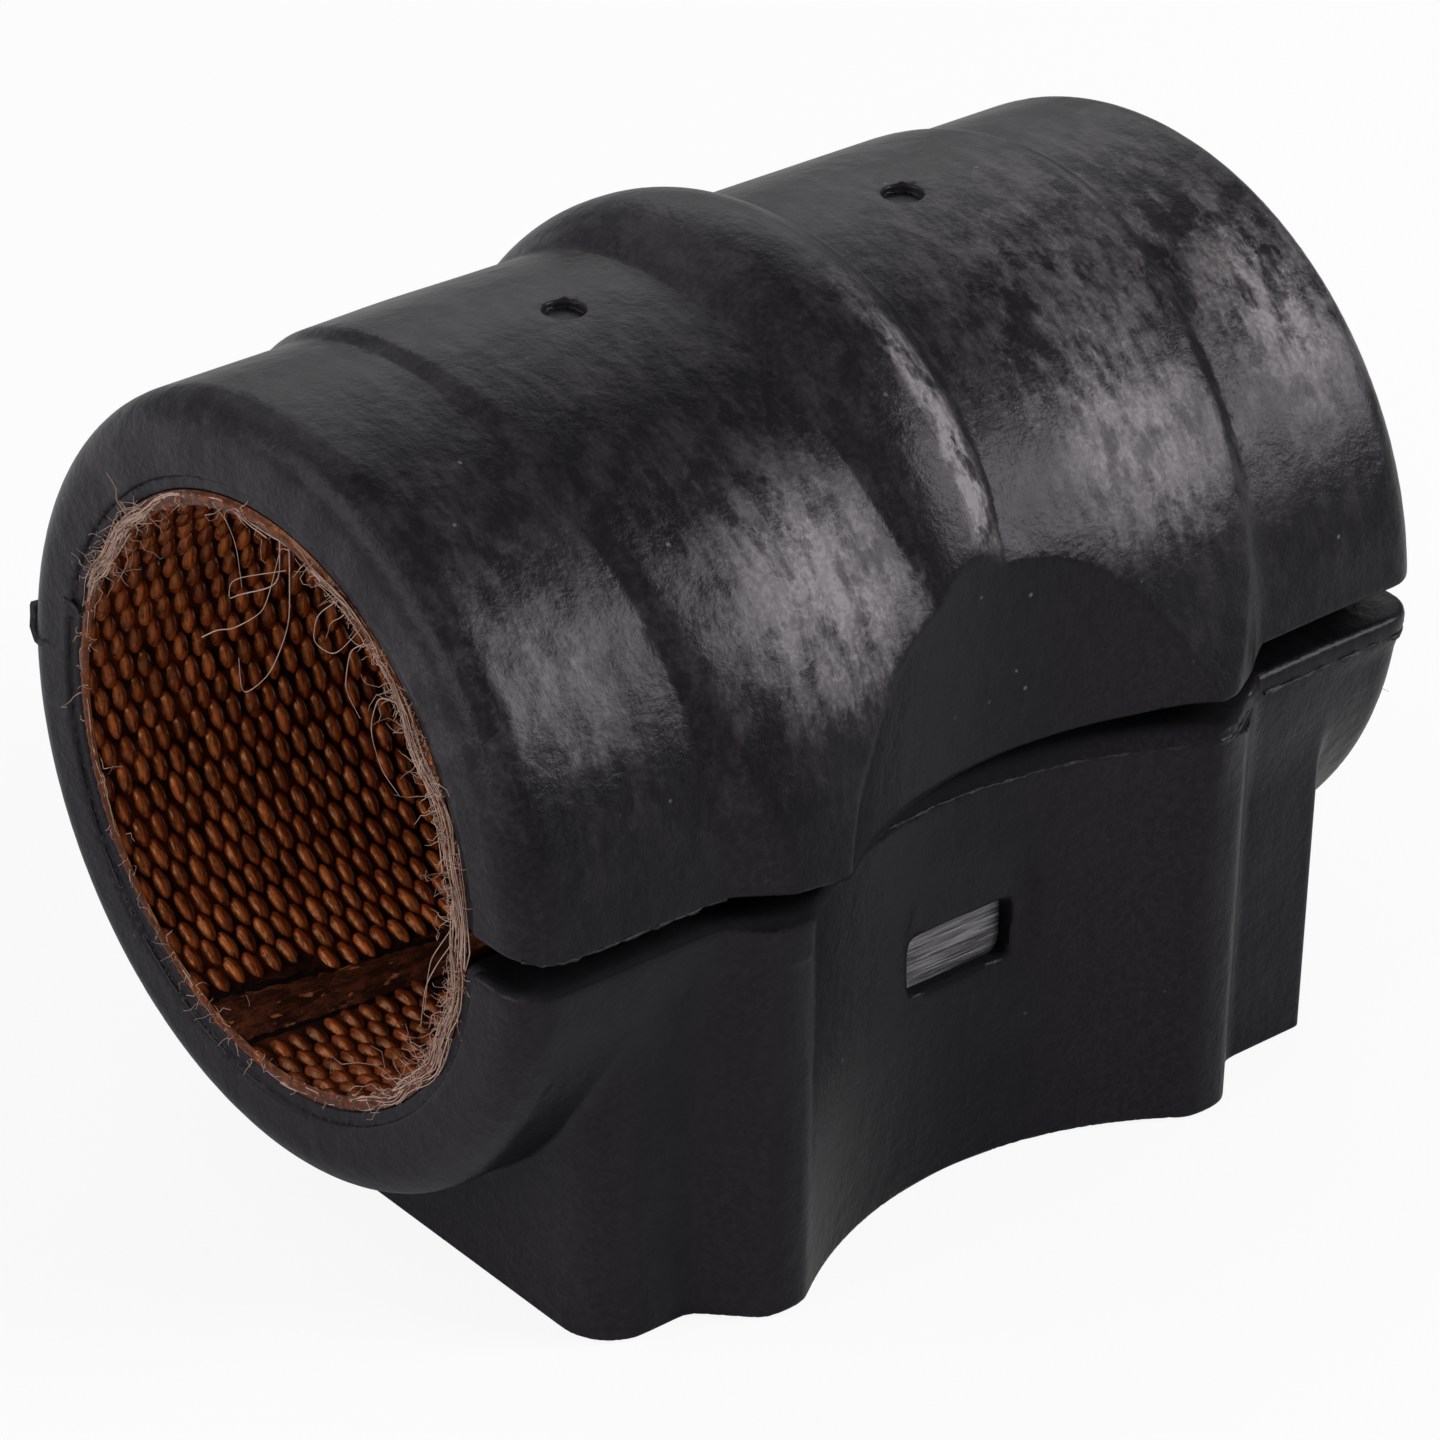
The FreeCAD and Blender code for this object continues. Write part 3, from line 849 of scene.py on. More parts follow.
@dataclass(frozen=True)
class FlashFinish:
    """Thin moulding flash: the same rubber, with paler dusty edges."""

    name: str = "rubber_flash"
    dark: Colour = (0.012, 0.0115, 0.013)
    dust_and_front_light: Colour = (0.05, 0.047, 0.047)
    roughness: float = 0.42

    def material(self) -> bpy.types.Material:
        """Builds the finish.

        Returns:
            The material.
        """
        g = SurfaceGraph(self.name)
        where = g.where()
        spots = g.between(g.noise(where, 900.0, 5.0, 0.7), 0.45, 0.7)
        g.dress("Base Color", g.mix(spots, rgba(self.dark), rgba(self.dust_and_front_light)))
        g.dress("Roughness", self.roughness)
        g.dress("Specular IOR Level", 0.12)
        g.dress("Normal", g.bump(g.noise(where, 2500.0), 0.5, 0.00008))
        return g.material


@dataclass(frozen=True)
class YarnFinish:
    """Copper-brown waxed yarn, each float a little lighter or darker than the next, and on the floats a
    painted highlight down one side.
    """

    name: str = "copper_yarn"
    dark: Colour = (0.035, 0.0065, 0.0018)
    mid: Colour = (0.215, 0.040, 0.0085)
    pale: Colour = (0.44, 0.108, 0.026)
    specular: float = 0.6
    specular_tint: Colour = (1.0, 0.50, 0.23)
    roughness: float = 0.20

    def material(self) -> bpy.types.Material:
        """Builds the finish.

        Returns:
            The material.
        """
        g = SurfaceGraph(self.name)
        where = g.where()
        tone = g.stored(TONE_ATTRIBUTE)
        grime = g.noise(where, 1500.0, 5.0, 0.65)
        broad = g.noise(where, 160.0, 3.0, 0.5)
        level = g.math("ADD", g.times(tone, 0.75), g.scaled(broad, 0.5, -0.12))
        colour = g.mix(g.between(level, 0.05, 0.55), rgba(self.dark), rgba(self.mid))
        colour = g.mix(g.between(level, 0.5, 1.05), colour, rgba(self.pale))
        strands = g.stretched(where, (900.0, 5200.0, 900.0), 2.0, 0.5)
        furrows = g.times(g.between(strands, 0.56, 0.40), 0.62)
        dirty = g.math("ADD", g.times(g.between(grime, 0.52, 0.72), 0.6), furrows)
        g.dress("Base Color", g.mix(g.math("MINIMUM", dirty, 1.0), colour, rgba(self.dark)))
        rough = g.scaled(grime, 0.3, self.roughness - 0.12)
        g.dress("Roughness", rough)
        g.dress("Specular IOR Level", self.specular)
        g.dress("Specular Tint", rgba(self.specular_tint))
        g.dress("Normal", g.bump(strands, 0.6, 0.00012, g.bump(grime, 0.4, 0.0001)))
        return g.material


@dataclass(frozen=True)
class ClothFinish:
    """Dark cloth seen between the floats."""

    name: str = "cloth_ground"
    dark: Colour = (0.015, 0.0045, 0.002)
    warm: Colour = (0.11, 0.023, 0.007)
    roughness: float = 0.75

    def material(self) -> bpy.types.Material:
        """Builds the finish.

        Returns:
            The material.
        """
        g = SurfaceGraph(self.name)
        where = g.where()
        patch = g.between(g.noise(where, 500.0, 4.0, 0.6), 0.4, 0.75)
        g.dress("Base Color", g.mix(patch, rgba(self.dark), rgba(self.warm)))
        g.dress("Roughness", self.roughness)
        g.dress("Specular IOR Level", 0.1)
        g.dress("Normal", g.bump(g.noise(where, 1800.0), 0.6, 0.0001))
        return g.material


@dataclass(frozen=True)
class SeamFinish:
    """Smooth brown strip along the cloth's joint, with a few bare glints and painted shade in the gaps
    along its edges.
    """

    name: str = "seam_strip_brown"
    # Near-black painted shade in the gaps along the strip's edges.
    gap: Colour = (0.0012, 0.0009, 0.0009)
    dark: Colour = (0.028, 0.0075, 0.003)
    mid: Colour = (0.135, 0.034, 0.012)
    glint: Colour = (0.42, 0.15, 0.065)
    roughness: float = 0.38

    def material(self) -> bpy.types.Material:
        """Builds the finish.

        Returns:
            The material.
        """
        g = SurfaceGraph(self.name)
        where = g.where()
        patch = g.between(g.stretched(where, (1300.0, 420.0, 1300.0), 6.0, 0.72), 0.40, 0.62)
        colour = g.mix(patch, rgba(self.dark), rgba(self.mid))
        bits = g.stretched(where, (1700.0, 600.0, 2300.0), 3.0, 0.6)
        shine = g.between(bits, 0.60, 0.70)
        tone = g.stored(TONE_ATTRIBUTE)
        colour = g.mix(shine, colour, rgba(self.glint))
        # Painted shade: the strip's margins, where the tone is 0, take the near-black gap colour.
        g.dress("Base Color", g.mix(g.between(tone, 0.4, 0.95), rgba(self.gap), colour))
        g.dress("Roughness", self.roughness)
        g.dress("Specular IOR Level", 0.3)
        g.dress("Normal", g.bump(patch, 0.7, 0.00014, g.bump(bits, 0.6, 0.00012)))
        return g.material


@dataclass(frozen=True)
class FibreFinish:
    """Pale pinkish-cream broken fibres."""

    name: str = "pale_fibre"
    pale: Colour = (0.60, 0.40, 0.31)
    dull: Colour = (0.27, 0.145, 0.10)
    roughness: float = 0.55

    def material(self) -> bpy.types.Material:
        """Builds the finish.

        Returns:
            The material.
        """
        g = SurfaceGraph(self.name)
        where = g.where()
        tone = g.stored(TONE_ATTRIBUTE)
        spots = g.between(g.noise(where, 700.0, 4.0, 0.6), 0.42, 0.66)
        level = g.scaled(spots, 0.35, g.times(tone, 0.65))
        g.dress("Base Color", g.mix(g.math("MINIMUM", level, 1.0), rgba(self.dull), rgba(self.pale)))
        g.dress("Roughness", self.roughness)
        g.dress("Sheen Weight", 0.3)
        return g.material


@dataclass(frozen=True)
class MetalFinish:
    """Dull aluminium with fine lines drawn along the bore and specks of rubber left on it."""

    name: str = "drawn_aluminium"
    bright: Colour = (0.26, 0.25, 0.265)
    dull: Colour = (0.03, 0.029, 0.032)
    stain: Colour = (0.10, 0.065, 0.04)
    roughness: float = 0.4

    def material(self) -> bpy.types.Material:
        """Builds the finish.

        Returns:
            The material.
        """
        g = SurfaceGraph(self.name)
        where = g.where()
        drawn = g.stretched(where, (300.0, 200.0, 4600.0), 4.0, 0.66)
        cloud = g.noise(where, 500.0, 5.0, 0.65)
        colour = g.mix(g.between(drawn, 0.3, 0.7), rgba(self.dull), rgba(self.bright))
        stain = g.times(g.between(cloud, 0.56, 0.72), 0.8)
        g.dress("Base Color", g.mix(stain, colour, rgba(self.stain)))
        g.dress("Roughness", g.scaled(drawn, 0.25, self.roughness - 0.1))
        g.dress("Metallic", 0.85)
        g.dress("Normal", g.bump(drawn, 0.8, 0.0001, g.bump(cloud, 0.5, 0.0001)))
        return g.material


@dataclass(frozen=True)
class Scuff:
    """A chalky patch: its strength, its place round and along the barrel, and its spread."""

    strength: float
    angle: float
    spread_below: float
    spread_above: float
    y: float
    y_spread: float
    starts_at: float = -100.0
    start_length: float = 3.0

    def amount(self, angle: Array, y: Array) -> Array:
        """How much chalk the patch leaves.

        Args:
            angle: Degrees round the bore.
            y: Places along the bore.

        Returns:
            The amount at each place.
        """
        spread = np.where(angle < self.angle, self.spread_below, self.spread_above)
        over = hill(angle, self.angle, spread) * hill(y, self.y, self.y_spread)
        return self.strength * over * ramp(self.starts_at, self.starts_at + self.start_length, y)


@dataclass
class RubberMoulding:
    """The rubber moulding with its chalky scuffs, painted highlights and painted shade, and its thin
    moulding flash.
    """

    form: MouldedForm
    mesher: SkinMesher
    finish: RubberFinish
    flash_finish: FlashFinish

    scuffs: tuple[Scuff, ...] = (
        Scuff(0.74, 38.0, 17.0, 11.0, -10.0, 6.5),
        Scuff(0.30, 38.0, 17.0, 11.0, -28.0, 4.0),
        Scuff(0.60, 40.0, 14.0, 14.0, 14.0, 6.0, starts_at=6.0),
        Scuff(0.80, 49.0, 14.0, 14.0, 28.2, 3.4),
        Scuff(0.20, 70.0, 26.0, 26.0, 20.0, 12.0),
    )
    far_scuffs: tuple[Scuff, ...] = (
        Scuff(0.5, 140.0, 22.0, 22.0, 12.0, 9.0),
        Scuff(0.5, 140.0, 22.0, 22.0, -14.0, 8.0),
    )
    bloom_line_knots: Knots = (
        (-33.5, 28.0), (-31.0, 27.0), (-9.6, 17.0), (-5.0, 16.0), (8.0, 22.0), (22.0, 24.0), (33.5, 31.0),
    )
    lower_flash_knots: Knots = ((-10.0, -1.5), (-4.0, -2.0), (4.0, -2.3), (12.0, -2.1), (19.0, -1.6))
    knob: Strand = (
        ((-22.9, -32.3, 2.5), (-23.3, -32.5, 2.1), (-23.2, -32.6, 1.5), (-22.9, -32.9, 1.0),
         (-22.2, -33.2, 0.7)),
        (0.16, 0.42, 0.38, 0.34, 0.30),
    )
    tail: Strand = (
        ((-22.2, -33.2, 0.7), (-21.6, -33.38, 0.7), (-21.0, -33.42, 1.1), (-20.4, -33.42, 1.0),
         (-19.7, -33.4, 1.4)),
        (0.30, 0.22, 0.20, 0.18, 0.08),
    )
    bit: Strand = (
        ((-19.0, -33.36, 4.1), (-18.7, -33.42, 4.9), (-18.1, -33.42, 4.8), (-17.4, -33.4, 4.5)),
        (0.14, 0.20, 0.18, 0.10),
    )
    bead_chalk_and_highlight: float = 0.95
    crest_chalk_and_top_light: float = 0.06
    most_chalk_and_highlight: float = 1.3
    window_rim: float = 0.6
    window_wall_x: tuple[float, float] = (18.5, 20.4)
    flash_step: float = 0.3
    flash_wobble: float = 0.025

    def bloom_and_highlight(self, points: Array, normals: Array) -> Array:
        """How much chalky scuffing and painted highlight lies at each place.

        Args:
            points: Places on the skin, one row each, in millimetres.
            normals: Directions out of the skin at those places.

        Returns:
            The amount, from 0 to about 1.
        """
        x, y, z = points.T
        angle = np.degrees(np.arctan2(z, x))
        patch = sum(scuff.amount(angle, y) for scuff in self.scuffs)
        # Painted shade: the shoulder's flanks that look towards the ends lose their chalky scuffs and stay
        # dark.
        rearward = normals[:, 1] * np.sign(y)
        patch *= 1.0 - 0.9 * ramp(0.1, 0.3, rearward) * ramp(26.0, 24.0, np.abs(y))
        proud = ramp(0.05, 0.35, np.hypot(x, z) - self.form.shoulder_radius)
        on_bead = ramp(0.4, 0.1, np.abs(self.form.bead(x, y, z))) * (z > 4.0) * proud
        patch *= 1.0 - on_bead
        # Painted highlight: on the bead the chalky colour is laid only on the flank that looks slightly
        # rearward, near 46 degrees round.
        lit_flank = ramp(0.02, 0.2, normals[:, 1]) * ramp(0.62, 0.38, normals[:, 1])
        patch += on_bead * self.bead_chalk_and_highlight * hill(angle, 46.0, 20.0) * lit_flank
        patch *= ramp(-1.5, 1.5, angle - profile(self.bloom_line_knots, y))
        patch += sum(scuff.amount(angle, y) for scuff in self.far_scuffs)
        # Chalky scuffs and painted top light: the skin is made a little paler higher up.
        patch += self.crest_chalk_and_top_light * ramp(-4.0, 14.0, z)
        return np.clip(patch * (1.0 - self.hollowed(points)), 0.0, self.most_chalk_and_highlight)

    def dust_and_front_light(self, points: Array, normals: Array) -> Array:
        """How much painted front light lies at each place: most on the faces that look forward, none on the
        window's walls.
        """
        return ramp(0.0, 0.55, -normals[:, 1]) * (1.0 - self.window_walls(points, normals))

    def window_walls(self, points: Array, normals: Array) -> Array:
        """Where the skin is the side of the window, from 0 to 1.

        Args:
            points: Places on the skin, one row each, in millimetres.
            normals: Directions out of the skin at those places.

        Returns:
            The share at each place.
        """
        x, y, z = points.T
        y0, y1 = self.form.window_y
        z0, z1 = self.form.window_z
        rim = self.window_rim
        inner, outer = self.window_wall_x
        near = (np.abs(x) > inner) & (np.abs(x) < outer)
        near &= (y > y0 - rim) & (y < y1 + rim) & (z > z0 - rim) & (z < z1 + rim)
        return near * ramp(0.92, 0.7, np.abs(normals[:, 0]))

    def hollowed(self, points: Array) -> Array:
        """Where the skin lies in the hollows between the bosses, from 0 to 1.

        Args:
            points: Places on the skin, one row each, in millimetres.

        Returns:
            The share at each place.
        """
        x, y, z = points.T
        inside = self.form.pocket_depth(np.abs(x), y, z, x)
        return ramp(-0.3, -0.04, inside)

    def shade(self, points: Array, normals: Array) -> Array:
        """How much painted shade lies at each place: the low flanks, hollows, the slit, its lower lip and
        the window's walls.

        Args:
            points: Places on the skin, one row each, in millimetres.
            normals: Directions out of the skin at those places.

        Returns:
            The amount, from 0 to 1.
        """
        x, y, z = points.T
        angle = np.degrees(np.arctan2(z, x))
        hollow = self.hollowed(points)
        # Painted shade on the low flanks below the line where the chalky scuffs end, and in the hollows
        # between the bosses.
        low = ramp(0.8, -0.8, angle - profile(self.bloom_line_knots, y)) * ramp(-3.0, 0.5, z)
        # Painted shade in the slit, along its lower lip and on the window's walls, where the rubber is also
        # made rougher to hide its highlights.
        slit = ramp(0.4, 0.65, np.abs(normals[:, 2])) * (x > 17.5) * (np.abs(z) < 2.6)
        slit *= 1.0 - 0.85 * ramp(19.5, 20.5, y) * (normals[:, 2] > 0.0)
        reach = 0.8 + 0.6 * ramp(16.0, 12.0, np.abs(y))
        lip = ramp(reach, 0.5 * reach, np.abs(z - self.form.floor(y))) * (x > 17.5) * ramp(19.0, 17.0, y)
        deep = slit + lip + self.window_walls(points, normals)
        return np.clip(np.maximum(0.6 * low * (1.0 - hollow), 0.5 * hollow) + deep, 0.0, 1.0)

    def flow(self, points: Array) -> Array:
        """Unrolled place of each corner, for marks that run along or round the part.

        Args:
            points: Places on the skin, one row each, in millimetres.

        Returns:
            Place along the part, place round it, and a number that tells its two sides apart.
        """
        x, y, z = points.T
        turned = np.arctan2(z, np.abs(x)) * self.form.shoulder_radius
        round_part = np.where(z > 0.0, turned, z)
        return np.stack([y, round_part, np.sign(x) * 10.0], axis=1) * MM

    def build(self) -> bpy.types.Object:
        """Builds the moulding, with its scuffs stored on its corners.

        Returns:
            The new piece.
        """
        mesh = self.mesher.skin(self.form)
        points = corner_places(mesh)
        normals = self.form.normals(points)
        add_floats(mesh, BLOOM_AND_HIGHLIGHT_ATTRIBUTE, self.bloom_and_highlight(points, normals))
        add_floats(mesh, SHADE_ATTRIBUTE, self.shade(points, normals))
        add_floats(mesh, FRONT_LIGHT_ATTRIBUTE, self.dust_and_front_light(points, normals))
        add_vectors(mesh, FLOW_ATTRIBUTE, self.flow(points))
        piece = place("moulded_body", mesh, self.finish.material(), Slot.RUBBER)
        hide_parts("rubber_body")
        return piece

    def flash_lines(self) -> list[tuple[Array, float]]:
        """Centre lines of the flash along the slit, each with its half thickness.

        Returns:
            The lines, in millimetres.
        """
        step = self.flash_step
        front = np.arange(-33.0, -19.5, step)
        middle = np.arange(-10.0, 19.0, step)
        rear = np.arange(20.6, 33.3, step)
        return [
            (self._on_skin(front, self.form.roof(front) + 0.12), 0.10),
            (self._on_skin(middle, profile(self.lower_flash_knots, middle)), 0.09),
            (self._on_skin(rear, np.full(rear.shape, -1.4)), 0.14),
        ]

    def _on_skin(self, y: Array, z: Array) -> Array:
        """Points on the +X skin at each y and z.

        Args:
            y: Places along the bore.
            z: Places upward.

        Returns:
            The points, one row each.
        """
        x = self.form.outer_x(y, z)
        middle = np.convolve(np.pad(x, 1, mode="edge"), (0.25, 0.5, 0.25), mode="valid")
        return np.stack([middle, y, z], axis=1)

    def build_flash(self, rng: np.random.Generator) -> bpy.types.Object:
        """Builds the thin ridges of flash along the slit's lips and the end face.

        Args:
            rng: The script's one source of random numbers.

        Returns:
            The flash as one piece.
        """
        tubes = TubeBundle(sides=6)
        for line, thick in self.flash_lines():
            wobble = rng.normal(0.0, self.flash_wobble, line.shape)
            swell = 1.0 + 0.35 * np.sin(np.arange(len(line)) * 0.9) + rng.normal(0.0, 0.2, len(line))
            tubes.add(line + wobble, thick * np.clip(swell, 0.4, 1.8), 0.5)
        for line, thick in (self.knob, self.tail, self.bit):
            tubes.add(np.array(line), np.array(thick), 0.5)
        mesh = tubes.mesh("moulding_flash")
        return place("moulding_flash", mesh, self.flash_finish.material(), Slot.RUBBER)


class TubeBundle:
    """Gathers many thin tubes into one mesh."""

    def __init__(self, sides: int) -> None:
        """Starts an empty bundle of tubes with this many sides.

        Args:
            sides: How many sides each tube has.
        """
        self.sides = sides
        self.corners: list[Array] = []
        self.faces: list[Array] = []
        self.tones: list[Array] = []
        self.count = 0

    def add(self, line: Array, radii: Array, tone: float) -> None:
        """Adds one tube.

        Args:
            line: Its centre line, one row for each point, in millimetres.
            radii: Its radius at each point.
            tone: How pale it is, from 0 to 1.
        """
        ahead = np.gradient(line, axis=0)
        ahead /= np.maximum(np.linalg.norm(ahead, axis=1), 1e-9)[:, None]
        helper = np.array([0.31, 0.17, 0.93])
        across = np.cross(ahead, helper)
        across /= np.maximum(np.linalg.norm(across, axis=1), 1e-9)[:, None]
        over = np.cross(ahead, across)
        turn = np.arange(self.sides) * 2.0 * math.pi / self.sides
        ring = across[:, None, :] * np.cos(turn)[None, :, None]
        ring = ring + over[:, None, :] * np.sin(turn)[None, :, None]
        corners = line[:, None, :] + ring * np.asarray(radii)[:, None, None]
        length = len(line)
        step = np.arange(length - 1)[:, None] * self.sides
        side = np.arange(self.sides)[None, :]
        base = step + side
        aside = step + (side + 1) % self.sides
        quads = np.stack([base, aside, aside + self.sides, base + self.sides], axis=-1).reshape(-1, 4)
        self.corners.append(corners.reshape(-1, 3))
        self.faces.append(quads + self.count)
        self.tones.append(np.full(length * self.sides, tone))
        self.count += length * self.sides

    def mesh(self, name: str) -> bpy.types.Mesh:
        """Joins the tubes into one smooth mesh in metres.

        Args:
            name: The new data's name.

        Returns:
            The mesh.
        """
        made = bpy.data.meshes.new(name)
        corners = np.concatenate(self.corners) * MM
        made.from_pydata(corners.tolist(), [], np.concatenate(self.faces).tolist())
        made.shade_smooth()
        add_floats(made, TONE_ATTRIBUTE, np.concatenate(self.tones))
        made.update()
        return made


@dataclass
class WovenLining:
    """The cloth bonded in the bore: ground cloth, raised floats, seam strip and cut edges."""

    cloth_radius: float = 17.5
    outer_radius: float = 18.0
    bore_radius: float = 17.0
    half_length: float = 33.2
    float_pitch_round: float = 5.35
    float_pitch_along: float = 1.25
    float_length: float = 2.0
    float_width: float = 0.95
    float_side_highlight: float = 0.30
    float_height: float = 0.46
    float_tilt: float = 4.0
    float_tilt_spread: float = 0.03
    float_size_spread: float = 0.035
    float_stray_round: float = 0.22
    float_stray_along: float = 0.03
    row_starts: tuple[float, float] = (0.8, 0.3)
    clear_of_end: float = 0.3
    clear_of_slit: tuple[float, float] = (2.6, 2.4)
    tone_middle: float = 0.66
    tone_spread: float = 0.19
    tone_under_seam: float = 0.48
    slit_top_angle: float = 1.2
    slit_bottom_angle: float = -4.2
    seam_upper_start: float = -112.6
    seam_upper_slope: float = 0.47
    seam_lower_start: float = -100.0
    seam_lower_slope: float = 0.31
    seam_least_width: float = 5.0
    seam_rise: float = 0.34
    clear_above_seam: float = 1.2
    clear_below_seam: float = 2.2
    edge_inset: float = 0.12
    edge_lumps: float = 0.18
    edge_proud: float = 0.16
    edge_sunk: float = 0.05

    def seam_upper(self, y: Array) -> Array:
        """Angle of the seam strip's upper edge, in degrees."""
        return self.seam_upper_start + self.seam_upper_slope * (y + self.half_length)

    def seam_lower(self, y: Array) -> Array:
        """Angle of the seam strip's lower edge, in degrees."""
        lower = self.seam_lower_start + self.seam_lower_slope * (y + self.half_length)
        return np.maximum(lower, self.seam_upper(y) + self.seam_least_width)

    def tube_grid(self, name: str, radius: Array, angles: Array, y: Array) -> bpy.types.Mesh:
        """Mesh of a curved patch.

        Args:
            name: The mesh's name.
            radius: Radius at each grid point.
            angles: Angle at each grid point, in degrees.
            y: Place along the bore at each grid point.

        Returns:
            A smooth mesh in metres whose faces look towards the axis.
        """
        turn = np.radians(angles)
        points = np.stack([radius * np.cos(turn), y, radius * np.sin(turn)], axis=-1) * MM
        rows, columns = y.shape
        start = (np.arange(rows - 1)[:, None] * columns + np.arange(columns - 1)[None, :]).ravel()
        faces = np.stack([start, start + 1, start + columns + 1, start + columns], axis=1)
        mesh = bpy.data.meshes.new(name)
        mesh.from_pydata(points.reshape(-1, 3).tolist(), [], faces.tolist())
        mesh.shade_smooth()
        mesh.update()
        return mesh

    def build_cloth(self, finish: ClothFinish) -> bpy.types.Object:
        """Builds the ground cloth that the floats lie on.

        Args:
            finish: The piece's finish.

        Returns:
            The cloth, which stands for the lining.
        """
        angles = np.linspace(self.slit_top_angle, 360.0 + self.slit_bottom_angle, 180)
        along = np.linspace(-self.half_length, self.half_length, 60)
        y, turn = np.meshgrid(along, angles, indexing="ij")
        mesh = self.tube_grid("lining_cloth", np.full(y.shape, self.cloth_radius), turn, y)
        piece = place("lining_cloth", mesh, finish.material(), Slot.LINING)
        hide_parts("bore_liner")
        return piece

    def float_template(self) -> tuple[Array, Array]:
        """One float: a plump lens, with its corners and faces.

        Returns:
            The corners and the faces' corner numbers.
        """
        stations = np.array([-1.0, -0.86, -0.6, -0.22, 0.22, 0.6, 0.86, 1.0])
        across = np.array([-1.0, -0.62, 0.0, 0.62, 1.0])
        shape = np.maximum(1.0 - np.abs(stations) ** 1.8, 0.0)
        width = self.float_width / 2.0 * (0.10 + 0.90 * shape**0.62)
        height = self.float_height * (0.04 + 0.96 * shape**0.6)
        u = np.repeat(stations[:, None] * self.float_length / 2.0, len(across), axis=1)
        v = width[:, None] * across[None, :]
        n = height[:, None] * np.sqrt(np.maximum(1.0 - across**2, 0.0))[None, :]
        corners = np.stack([u, v, n], axis=-1).reshape(-1, 3)
        columns = len(across)
        start = (np.arange(len(stations) - 1)[:, None] * columns + np.arange(columns - 1)[None, :]).ravel()
        faces = np.stack([start, start + columns, start + columns + 1, start + 1], axis=1)
        return corners, faces

    def float_places(self, rng: np.random.Generator) -> tuple[Array, Array, Array]:
        """Angle, place along the bore and tone of each float.

        Args:
            rng: The script's one source of random numbers.

        Returns:
            The angles, places and tones.
        """
        above, below = self.clear_of_slit
        last = 360.0 + self.slit_bottom_angle - below
        rows = np.arange(self.slit_top_angle + above, last, self.float_pitch_round)
        angles, places, tones = [], [], []
        for number, row in enumerate(rows):
            signed = row - 360.0 if row > 180.0 else row
            pitch = self.float_pitch_along
            first = self.row_starts[number % 2] * pitch - self.half_length
            y = np.arange(first, self.half_length - self.clear_of_end, pitch)
            upper, lower = self.seam_upper(y), self.seam_lower(y)
            clear = (signed < upper - self.clear_above_seam) | (signed > lower + self.clear_below_seam)
            y = y[clear]
            under = np.where(signed > lower[clear], self.tone_under_seam, 0.0) * (row > 180.0)
            angles.append(row + rng.normal(0.0, self.float_stray_round, len(y)))
            places.append(y + rng.normal(0.0, self.float_stray_along, len(y)))
            tone = rng.normal(self.tone_middle, self.tone_spread, len(y))
            tones.append(np.clip(tone - under, 0.08, 1.0))
        return np.concatenate(angles), np.concatenate(places), np.concatenate(tones)

    def build_floats(self, finish: YarnFinish, rng: np.random.Generator) -> list[bpy.types.Object]:
        """Builds the raised floats, in a front and a rear piece.

        Args:
            finish: The piece's finish.
            rng: The script's one source of random numbers.

        Returns:
            The two pieces.
        """
        corners, faces = self.float_template()
        angles, places, tones = self.float_places(rng)
        material = finish.material()
        pieces = []
        for name, chosen in (("weave_front", places < 0.0), ("weave_rear", places >= 0.0)):
            turn = np.radians(angles[chosen])
            count = len(turn)
            tilt = np.radians(self.float_tilt) + rng.normal(0.0, self.float_tilt_spread, count)
            scale = rng.normal(1.0, self.float_size_spread, (count, 3))
            local = corners[None, :, :] * scale[:, None, :]
            u = local[..., 0] * np.cos(tilt)[:, None] - local[..., 1] * np.sin(tilt)[:, None]
            v = local[..., 0] * np.sin(tilt)[:, None] + local[..., 1] * np.cos(tilt)[:, None]
            radius = np.maximum(self.cloth_radius - local[..., 2], self.bore_radius + 0.02)
            around = turn[:, None] + u / self.cloth_radius
            x = radius * np.cos(around)
            z = radius * np.sin(around)
            y = places[chosen][:, None] + v
            points = np.stack([x, y, z], axis=-1).reshape(-1, 3) * MM
            numbers = (faces[None, :, :] + (np.arange(count) * len(corners))[:, None, None]).reshape(-1, 4)
            mesh = bpy.data.meshes.new(name)
            mesh.from_pydata(points.tolist(), [], numbers.tolist())
            mesh.shade_smooth()
            # Painted highlight: each float's -Y side is made paler and its +Y side darker through its tone.
            side_highlight = self.float_side_highlight * corners[:, 1] / (self.float_width / 2.0)
            add_floats(mesh, TONE_ATTRIBUTE, (tones[chosen][:, None] - side_highlight[None, :]).ravel())
            mesh.update()
            piece = place(name, mesh, material, Slot.LINING)
            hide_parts("bore_liner")
            pieces.append(piece)
        return pieces

    def build_seam(self, finish: SeamFinish, rng: np.random.Generator) -> bpy.types.Object:
        """Builds the smooth strip between the seam's two lines.

        Args:
            finish: The piece's finish.
            rng: The script's one source of random numbers.

        Returns:
            The strip.
        """
        along = np.linspace(-self.half_length, self.half_length, 200)
        share = np.concatenate([(-0.16, -0.02), np.linspace(0.0, 1.0, 15), (1.02, 1.12)])
        y, across = np.meshgrid(along, share, indexing="ij")
        ragged = rng.normal(0.0, 0.22, along.shape)[:, None]
        upper = self.seam_upper(y) + 1.2 + 1.5 * ragged
        lower = self.seam_lower(y) - 0.3 + 0.8 * ragged
        angles = upper + (lower - upper) * across
        on_strip = (across >= 0.0) & (across <= 1.0)
        crown = self.seam_rise * (1.0 - np.clip(2.0 * across - 1.0, -1.0, 1.0) ** 6)
        rise = crown + on_strip * rng.normal(0.0, 0.012, y.shape)
        mesh = self.tube_grid("seam_strip", self.cloth_radius - 0.03 - rise, angles, y)
